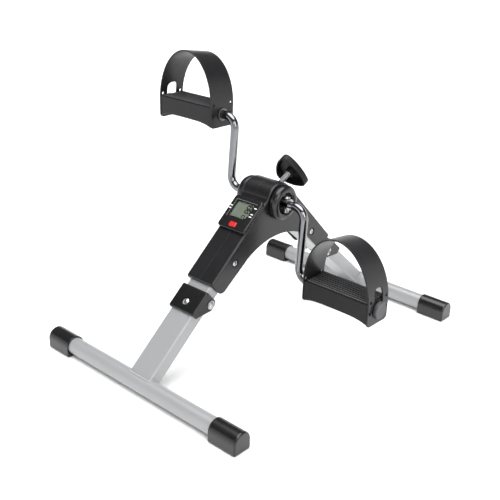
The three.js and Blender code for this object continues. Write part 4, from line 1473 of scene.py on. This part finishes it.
@dataclass
class Pedal:
    """Ribbed platform, arched strap and end cap."""

    layout: Layout
    right: bool
    inner: float = 96.5
    outer: float = 205.5
    width: float = 46.0
    thick: float = 2.0
    rise: float = 83.5
    taper: float = 0.045
    lean: float = 3.0
    spring: float = 10.0
    drop: float = 20.5
    inner_drop: float = 18.5
    deck: float = 13.0
    depth: float = 45.0
    below: float = 17.0
    belly: float = 5.0
    wall: float = 2.5
    ribs: int = 8
    stud_across: float = 17.5
    cap: float = 12.0
    bore: float = 6.3
    boss: float = 10.0
    deck_corner: float = 1.6
    end_round: float = 6.0
    past: float = 300.0

    def __post_init__(self) -> None:
        """Places the pedal's frame and the platform's ends."""
        self.axes = self.layout.pedal(self.right)
        self.hand = "right" if self.right else "left"
        self.body = f"pedal_{self.hand}"
        self.low = self.inner + self.thick + FIT
        self.high = self.outer - self.thick - FIT
        self.mid = (self.low + self.high) / 2

    def build(self) -> None:
        """Makes every piece of the pedal."""
        self.platform()
        self.bearings()
        self.strap()
        self.end_cap()

    def side_outline(self, inward: float, belly: float, drop: float) -> Array:
        """Wall outline: a flat deck over a lower edge that rises by belly times (1 - t to the fourth).

        Args:
            inward: Distance that it keeps inside the outer one.
            belly: Rise of the lower edge.
            drop: Depth of the lower edge.

        Returns:
            Anticlockwise points.
        """
        reach = (self.high - self.low) / 2 - inward
        t = np.linspace(-1, 1, 41)
        lower = np.column_stack([self.mid + t * reach, -drop + belly * (1 - t**4)])
        left, right, deck = self.mid - reach, self.mid + reach, self.deck - inward
        edge = 0.0 if inward else self.deck_corner
        top = rounded([(left, -drop, 0), (right, -drop, 0), (right, deck, edge), (left, deck, edge)], 6)
        return np.concatenate([lower, top[2:]])

    def platform(self) -> None:
        """Hollow platform with a rounded rim, and the half-round ribs on its deck."""
        half = self.depth / 2
        solid = carried_y(self.side_outline(0, self.belly, self.below), -half, half, self.axes, (1.1, 1.1))
        room = carried_y(self.side_outline(self.wall, 0, FAR), -half + self.wall, half - self.wall, self.axes)
        hole = bar(self.bore, 0, self.past, self.axes.along_x())
        node = f"pedal_body_{self.hand}"
        piece(f"platform_{self.hand}", solid, Look.PEDAL, self.body, [node], [room, hole], soften=0.3)
        pitch = (self.depth - 6) / (self.ribs - 0.5)
        rise = np.linspace(0, np.pi, 9)
        profile = np.column_stack([1.15 * np.cos(rise), self.deck - 0.4 + 1.6 * np.sin(rise)])
        places = [(k - (self.ribs - 1) / 2) * pitch for k in range(self.ribs)]
        ribs = [carried_x(profile + [y, 0], self.low + 3, self.high - 3, self.axes, (0.5, 0.5)) for y in places]
        # the ribs' lighter colour is a painted highlight on their tops
        piece(f"deck_ribs_{self.hand}", joined(ribs), Look.RIB_HIGHLIGHT, self.body)

    def bearings(self) -> None:
        """Tube round the spindle, its outer boss and the four studs that stand in the strap's holes."""
        spindle, low, high = self.axes.along_x(), self.low + 1, self.high - 1
        bore, wide, end = self.bore, self.boss, self.outer + 0.2
        tube = lathe([(bore, low), (9, low), (9, high), (bore, high)], spindle, 40, True)
        rim = rounded([(bore, high, 0), (wide, high, 0), (wide, end, 0.5), (bore, end, 0.5)], 4)
        stud = rounded([(0, 0), (2.2, 0, 0), (2.2, 5.4, 1.0), (0, 5.6)], 5)
        studs = [
            lathe(stud, self.axes.along_x(start, sign * self.stud_across, -1, way), 24)
            for sign in (-1, 1)
            for start, way in ((low, -1.0), (high, 1.0))
        ]
        skin = joined([tube, lathe(rim, spindle, 40, True), *studs])
        piece(f"bearing_tube_{self.hand}", skin, Look.PEDAL, self.body)

    def band(self) -> Skin:
        """The strap before its holes are cut, one band bent over the foot.

        Its middle line runs up the inner plate, over a half ellipse that leans towards the machine by a sine of the
        angle, and down the outer plate. Heights above the springing change evenly across the width, so the
        arch opens towards the heel, and the width narrows at both ends on quarter circles.

        Returns:
            The closed surface.
        """
        reach, top = (self.outer - self.inner) / 2 - self.thick / 2, self.rise - self.spring - self.thick / 2
        mid = (self.outer + self.inner) / 2
        angle = np.linspace(np.pi, 0, 96)
        corner = self.end_round * (1 - np.cos(np.linspace(0, np.pi / 2, 10)))
        up, down = (
            np.concatenate([-drop + corner, np.linspace(-drop + 8, self.spring - 1, 8)])
            for drop in (self.inner_drop, self.drop)
        )
        down = down[::-1]
        over = mid + reach * np.cos(angle) - self.lean * np.sin(angle)
        x = np.concatenate([np.full(len(up), mid - reach), over, np.full(len(down), mid + reach)])
        z = np.concatenate([up, self.spring + top * np.sin(angle), down])
        near = np.concatenate([up + self.inner_drop, np.full(len(angle), 99.0), down + self.drop])
        r = self.end_round
        lost = r - np.sqrt(np.maximum(r**2 - (r - np.minimum(near, r)) ** 2, 0))
        half = self.width / 2 - lost
        dx, dz = np.gradient(x), np.gradient(z)
        size = np.hypot(dx, dz)
        nx, nz = -dz / size, dx / size
        section = plate_outline(2.0, self.thick, self.thick * 0.42, count=5)
        across, through = np.sign(section[:, 0]), section[:, 1]
        y = across * (half[:, None] - (1 - np.abs(section[:, 0])))
        px = x[:, None] + nx[:, None] * through
        pz = z[:, None] + nz[:, None] * through
        heel = 1.0 if self.right else -1.0
        share = 1 - heel * self.taper * y / (self.width / 2)
        pz = np.where(pz > self.spring, self.spring + (pz - self.spring) * share, pz)
        return stack(self.axes.at(np.stack([px, y, pz], -1)))

    def strap(self) -> None:
        """The strap with its window, its clearance round the cap and the bearing, and its stud and rivet holes."""
        window = rounded([(-9.5, 0), (9.5, 0), (9.5, 30, 7.5), (-9.5, 30, 7.5)], 10)
        cuts = [
            carried_x(window, self.mid, self.past, self.axes),
            bar(self.cap + 0.8, self.mid, self.past, self.axes.along_x(), 48),
            bar(9.5, 0, self.mid, self.axes.along_x(), 40),
        ]
        for sign in (-1, 1):
            for radius, height in ((2.6, -1), (2.3, 15)):
                place = self.axes.along_x(0, sign * self.stud_across, height)
                cuts.append(bar(radius, 0, self.past, place, 20))
        node = f"pedal_strap_{self.hand}"
        piece(f"toe_strap_{self.hand}", self.band(), Look.STRAP, self.body, [node], cuts, sharp=38)

    def end_cap(self) -> None:
        """Round cap with a soft edge and a slightly dished face."""
        place, r = self.axes.along_x(self.outer + 0.5), self.cap
        loop = [(0, 1.9), (10, 1.9, 0), (10, 0, 0), (r, 0, 0.3), (r, 5.0, 1.8), (r - 3.4, 4.7, 0.6), (0, 4.5)]
        skin = lathe(rounded(loop, 7), place, 64)
        piece(f"end_cap_{self.hand}", skin, Look.CAP, self.body, [f"pedal_cap_{self.hand}"])


@dataclass
class Brake:
    """Three-cornered knob and its screw."""

    layout: Layout
    start: float = 52.0
    thick: float = 11.0
    corner: float = 9.0
    reach: float = 20.0
    side_centre: float = 35.0
    tip: float = 20.6
    major: float = 3.8
    pitch: float = 1.25
    thread: float = 0.55
    points: int = 120

    def triangle(self, depth: float) -> Array:
        """Three-cornered outline read by the direction it faces.

        Facing a corner, a point is the corner's centre plus a small circle; between corners it lies on a wide
        circle whose centre is behind the knob's middle. A depth is taken off both radii.

        Args:
            depth: Distance that the outline keeps inside the outer one.

        Returns:
            The points.
        """
        facing = np.linspace(0, 2 * np.pi, self.points, endpoint=False)
        first = -np.pi / 2
        near = first + np.round((facing - first) / (2 * np.pi / 3)) * (2 * np.pi / 3)
        side = first + np.pi / 3 + np.round((facing - first - np.pi / 3) / (2 * np.pi / 3)) * (2 * np.pi / 3)
        along, across = self.reach * 0.5 + self.side_centre, self.reach * math.sin(math.pi / 3)
        wide = math.hypot(along, across) + self.corner
        flat = math.atan2(across, along)
        on_side = np.abs(facing - side) < flat
        centre = np.where(on_side, side + np.pi, near)
        away = np.where(on_side, self.side_centre, self.reach)
        radius = np.where(on_side, wide, self.corner) - depth
        return np.column_stack(
            [away * np.cos(centre) + radius * np.cos(facing), away * np.sin(centre) + radius * np.sin(facing)]
        )

    def build(self) -> None:
        """Makes the knob, from the crown of its face round its flank into the hollow and the boss, and the screw."""
        axes, low, top = self.layout.knob(), self.start, self.start + self.thick
        turn = np.linspace(0, 2 * np.pi, self.points, endpoint=False)
        disc, rim = np.column_stack([np.cos(turn), np.sin(turn)]), self.triangle(5.0)
        flank = (
            (5.0, top), (2.4, top - 0.1), (1.4, top - 0.4), (0.6, top - 0.9), (0.15, top - 1.6), (0.0, top - 2.4),
            (0.0, low + 1.2), (0.2, low + 0.5), (0.6, low + 0.1), (1.2, low), (2.0, low + 0.1), (2.4, low + 0.7),
            (2.9, low + 5.5), (3.6, top - 3.4), (5.0, top - 3.0),
        )
        boss = (
            (7.0, top - 3.4), (6.8, low + 0.6), (6.4, low), (4.3, low), (4.1, low + 0.4), (4.1, low + 6.3),
            (0.01, low + 6.3),
        )
        rows = [(rim * share, top - 0.5 + 0.5 * share) for share in (0.001, 0.3, 0.6, 0.85)]
        rows += [(self.triangle(depth), height) for depth, height in flank]
        rows += [(rim * (1 - share) + disc * 7.4 * share, top - 3.0) for share in (0.4, 0.8, 1.0)]
        rows += [(disc * radius, height) for radius, height in boss]
        piece("brake_knob", stack(axes.at(levels(rows))), Look.MATT, "knob", ["tension_knob"], sharp=45)
        self.screw(axes)

    def screw(self, axes: Axes) -> None:
        """Threaded rod: the radius falls by a rounded tooth of the height in pitches less the share of a turn.

        Args:
            axes: Frame to build in.
        """
        height = np.arange(self.tip, self.start + 6.0, self.pitch / 6)
        turn = np.linspace(0, 2 * np.pi, 24, endpoint=False)
        phase = height[:, None] / self.pitch - turn / (2 * np.pi)
        tooth = 0.5 - 0.5 * np.cos(2 * np.pi * phase)
        radius = self.major - self.thread * tooth
        rings = np.stack(np.broadcast_arrays(radius * np.cos(turn), radius * np.sin(turn), height[:, None]), -1)
        piece("brake_screw", stack(axes.at(rings)), Look.ZINC, "knob", ["tension_screw"], sharp=60)


# ---------------------------------------------------------------- kept CAD nodes, stage and camera
KEPT: dict[str, Look] = {
    "main_frame": Look.SILVER,
    "axle": Look.STEEL,
    "brake_drum": Look.STEEL,
    "axle_bush_left": Look.WHITE,
    "axle_bush_right": Look.WHITE,
    "speed_magnet": Look.STEEL,
    "speed_sensor": Look.COVER,
    "console_base": Look.COVER,
    "console_board": Look.BOARD,
    "console_battery": Look.ZINC,
    "brake_pad": Look.FELT,
    "brake_shoe": Look.STEEL,
}


def dress_kept() -> None:
    """Gives every CAD node that stays in view its finish."""
    for name, look in KEPT.items():
        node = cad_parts[name]
        node.data.materials.clear()
        node.data.materials.append(look.material())
        log.info("%s keeps its CAD shape", name)


@dataclass
class Studio:
    """Camera, pale floor, sky and soft boxes."""

    target: tuple[float, float, float] = (0.0, 0.0, 0.12)
    azimuth: float = 41.1
    elevation: float = 24.0
    roll: float = 1.8
    distance: float = 1.186
    lens: float = 58.66
    shift: tuple[float, float] = (-0.0238, 0.017)
    aim_height: float = 0.18
    floor_reach: float = 20.0
    glow: float = 1.6
    belt: Stops = ((0.0, 0.75), (0.26, 0.75), (0.34, 0.08), (0.70, 0.08), (0.82, 0.25), (0.93, 1.0), (1.0, 1.0))

    def camera(self) -> None:
        """Camera on a sphere about the target, rolled a little about its own line of sight."""
        a, e, r = (math.radians(v) for v in (self.azimuth, self.elevation, self.roll))
        back = Vector((math.sin(a) * math.cos(e), -math.cos(a) * math.cos(e), math.sin(e)))
        right = (-back).cross(Vector((0, 0, 1))).normalized()
        up = right.cross(-back)
        side = math.cos(r) * right + math.sin(r) * up
        head = -math.sin(r) * right + math.cos(r) * up
        data = bpy.data.cameras.new("camera")
        data.lens, data.sensor_width = self.lens, 36.0
        data.shift_x, data.shift_y = self.shift
        data.clip_start, data.clip_end = 0.05, 60.0
        made = bpy.data.objects.new("camera", data)
        turn = Matrix((side, head, back)).transposed().to_4x4()
        made.matrix_world = Matrix.Translation(Vector(self.target) + back * self.distance) @ turn
        bpy.context.scene.collection.objects.link(made)
        bpy.context.scene.camera = made

    def floor(self) -> None:
        """Plain pale floor."""
        reach = self.floor_reach
        mesh = bpy.data.meshes.new("floor")
        corners_at = [(-reach, -reach, 0), (reach, -reach, 0), (reach, reach, 0), (-reach, reach, 0)]
        mesh.from_pydata(corners_at, [], [(0, 1, 2, 3)])
        made = bpy.data.objects.new("floor", mesh)
        bpy.context.scene.collection.objects.link(made)
        recipe = Recipe("pale_floor")
        mesh.materials.append(recipe.dress(Base_Color=(0.97, 0.97, 0.97), Roughness=0.9, Specular_IOR_Level=0.1))
        made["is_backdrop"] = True

    def sky(self) -> None:
        """White sky with a dark belt above the horizon, so that bright metal has something to mirror."""
        world = bpy.data.worlds.new("sky")
        bpy.context.scene.world = world
        world.use_nodes = True
        graph = Graph(world.node_tree)
        place = graph.node("ShaderNodeTexCoord", {}, {})["Generated"]
        height = graph.node("ShaderNodeSeparateXYZ", {}, {0: place})["Z"]
        belt = graph.node("ShaderNodeValToRGB", {"stops": self.belt}, {0: height})[0]
        glow = graph.node("ShaderNodeBackground", {}, {"Color": belt, "Strength": self.glow})[0]
        graph.node("ShaderNodeOutputWorld", {}, {"Surface": glow})

    def soft_box(self, name: str, place: Sequence[float], size: float, power: float) -> None:
        """Square area light aimed at the machine's middle.

        Args:
            name: The light's name.
            place: Its middle, in metres.
            size: Its side, in metres.
            power: Its power in watts.
        """
        data = bpy.data.lights.new(name, "AREA")
        data.shape, data.size, data.energy = "SQUARE", size, power
        made = bpy.data.objects.new(name, data)
        made.location = place
        aim = Vector((0, 0, self.aim_height)) - Vector(place)
        made.rotation_euler = aim.to_track_quat("-Z", "Y").to_euler()
        bpy.context.scene.collection.objects.link(made)

    def overhead(self, strength: float, spread: float) -> None:
        """Even light from a wide disc straight above, whose spread is given in degrees.

        Args:
            strength: Light in watts for each square metre.
            spread: Angle of the disc.
        """
        data = bpy.data.lights.new("overhead", "SUN")
        data.energy, data.angle = strength, math.radians(spread)
        bpy.context.scene.collection.objects.link(bpy.data.objects.new("overhead", data))

    def build(self) -> None:
        """Sets the whole stage."""
        self.camera()
        self.floor()
        self.sky()
        self.overhead(strength=3.1, spread=62.0)
        self.soft_box("side", place=(1.9, -0.6, 1.5), size=1.3, power=24)
        self.soft_box("front", place=(1.1, -2.0, 1.5), size=0.7, power=6)
        bpy.context.scene.view_settings.view_transform = "Standard"


def corners() -> list[list[float]]:
    """The shown object's lowest and highest corners as plain numbers."""
    return [list(map(float, c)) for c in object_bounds()]


def main() -> None:
    """Builds the stage and the machine."""
    logging.basicConfig(level=logging.INFO, format="%(name)s %(message)s")
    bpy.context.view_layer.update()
    layout = Layout()
    Studio().build()
    dress_kept()
    parts = [
        Leg(layout, True),
        Leg(layout, False),
        Housing(layout),
        Console(layout),
        Crankset(layout),
        Pedal(layout, True),
        Pedal(layout, False),
        Brake(layout),
    ]
    for part in parts:
        part.build()


if __name__ == "__main__":
    main()
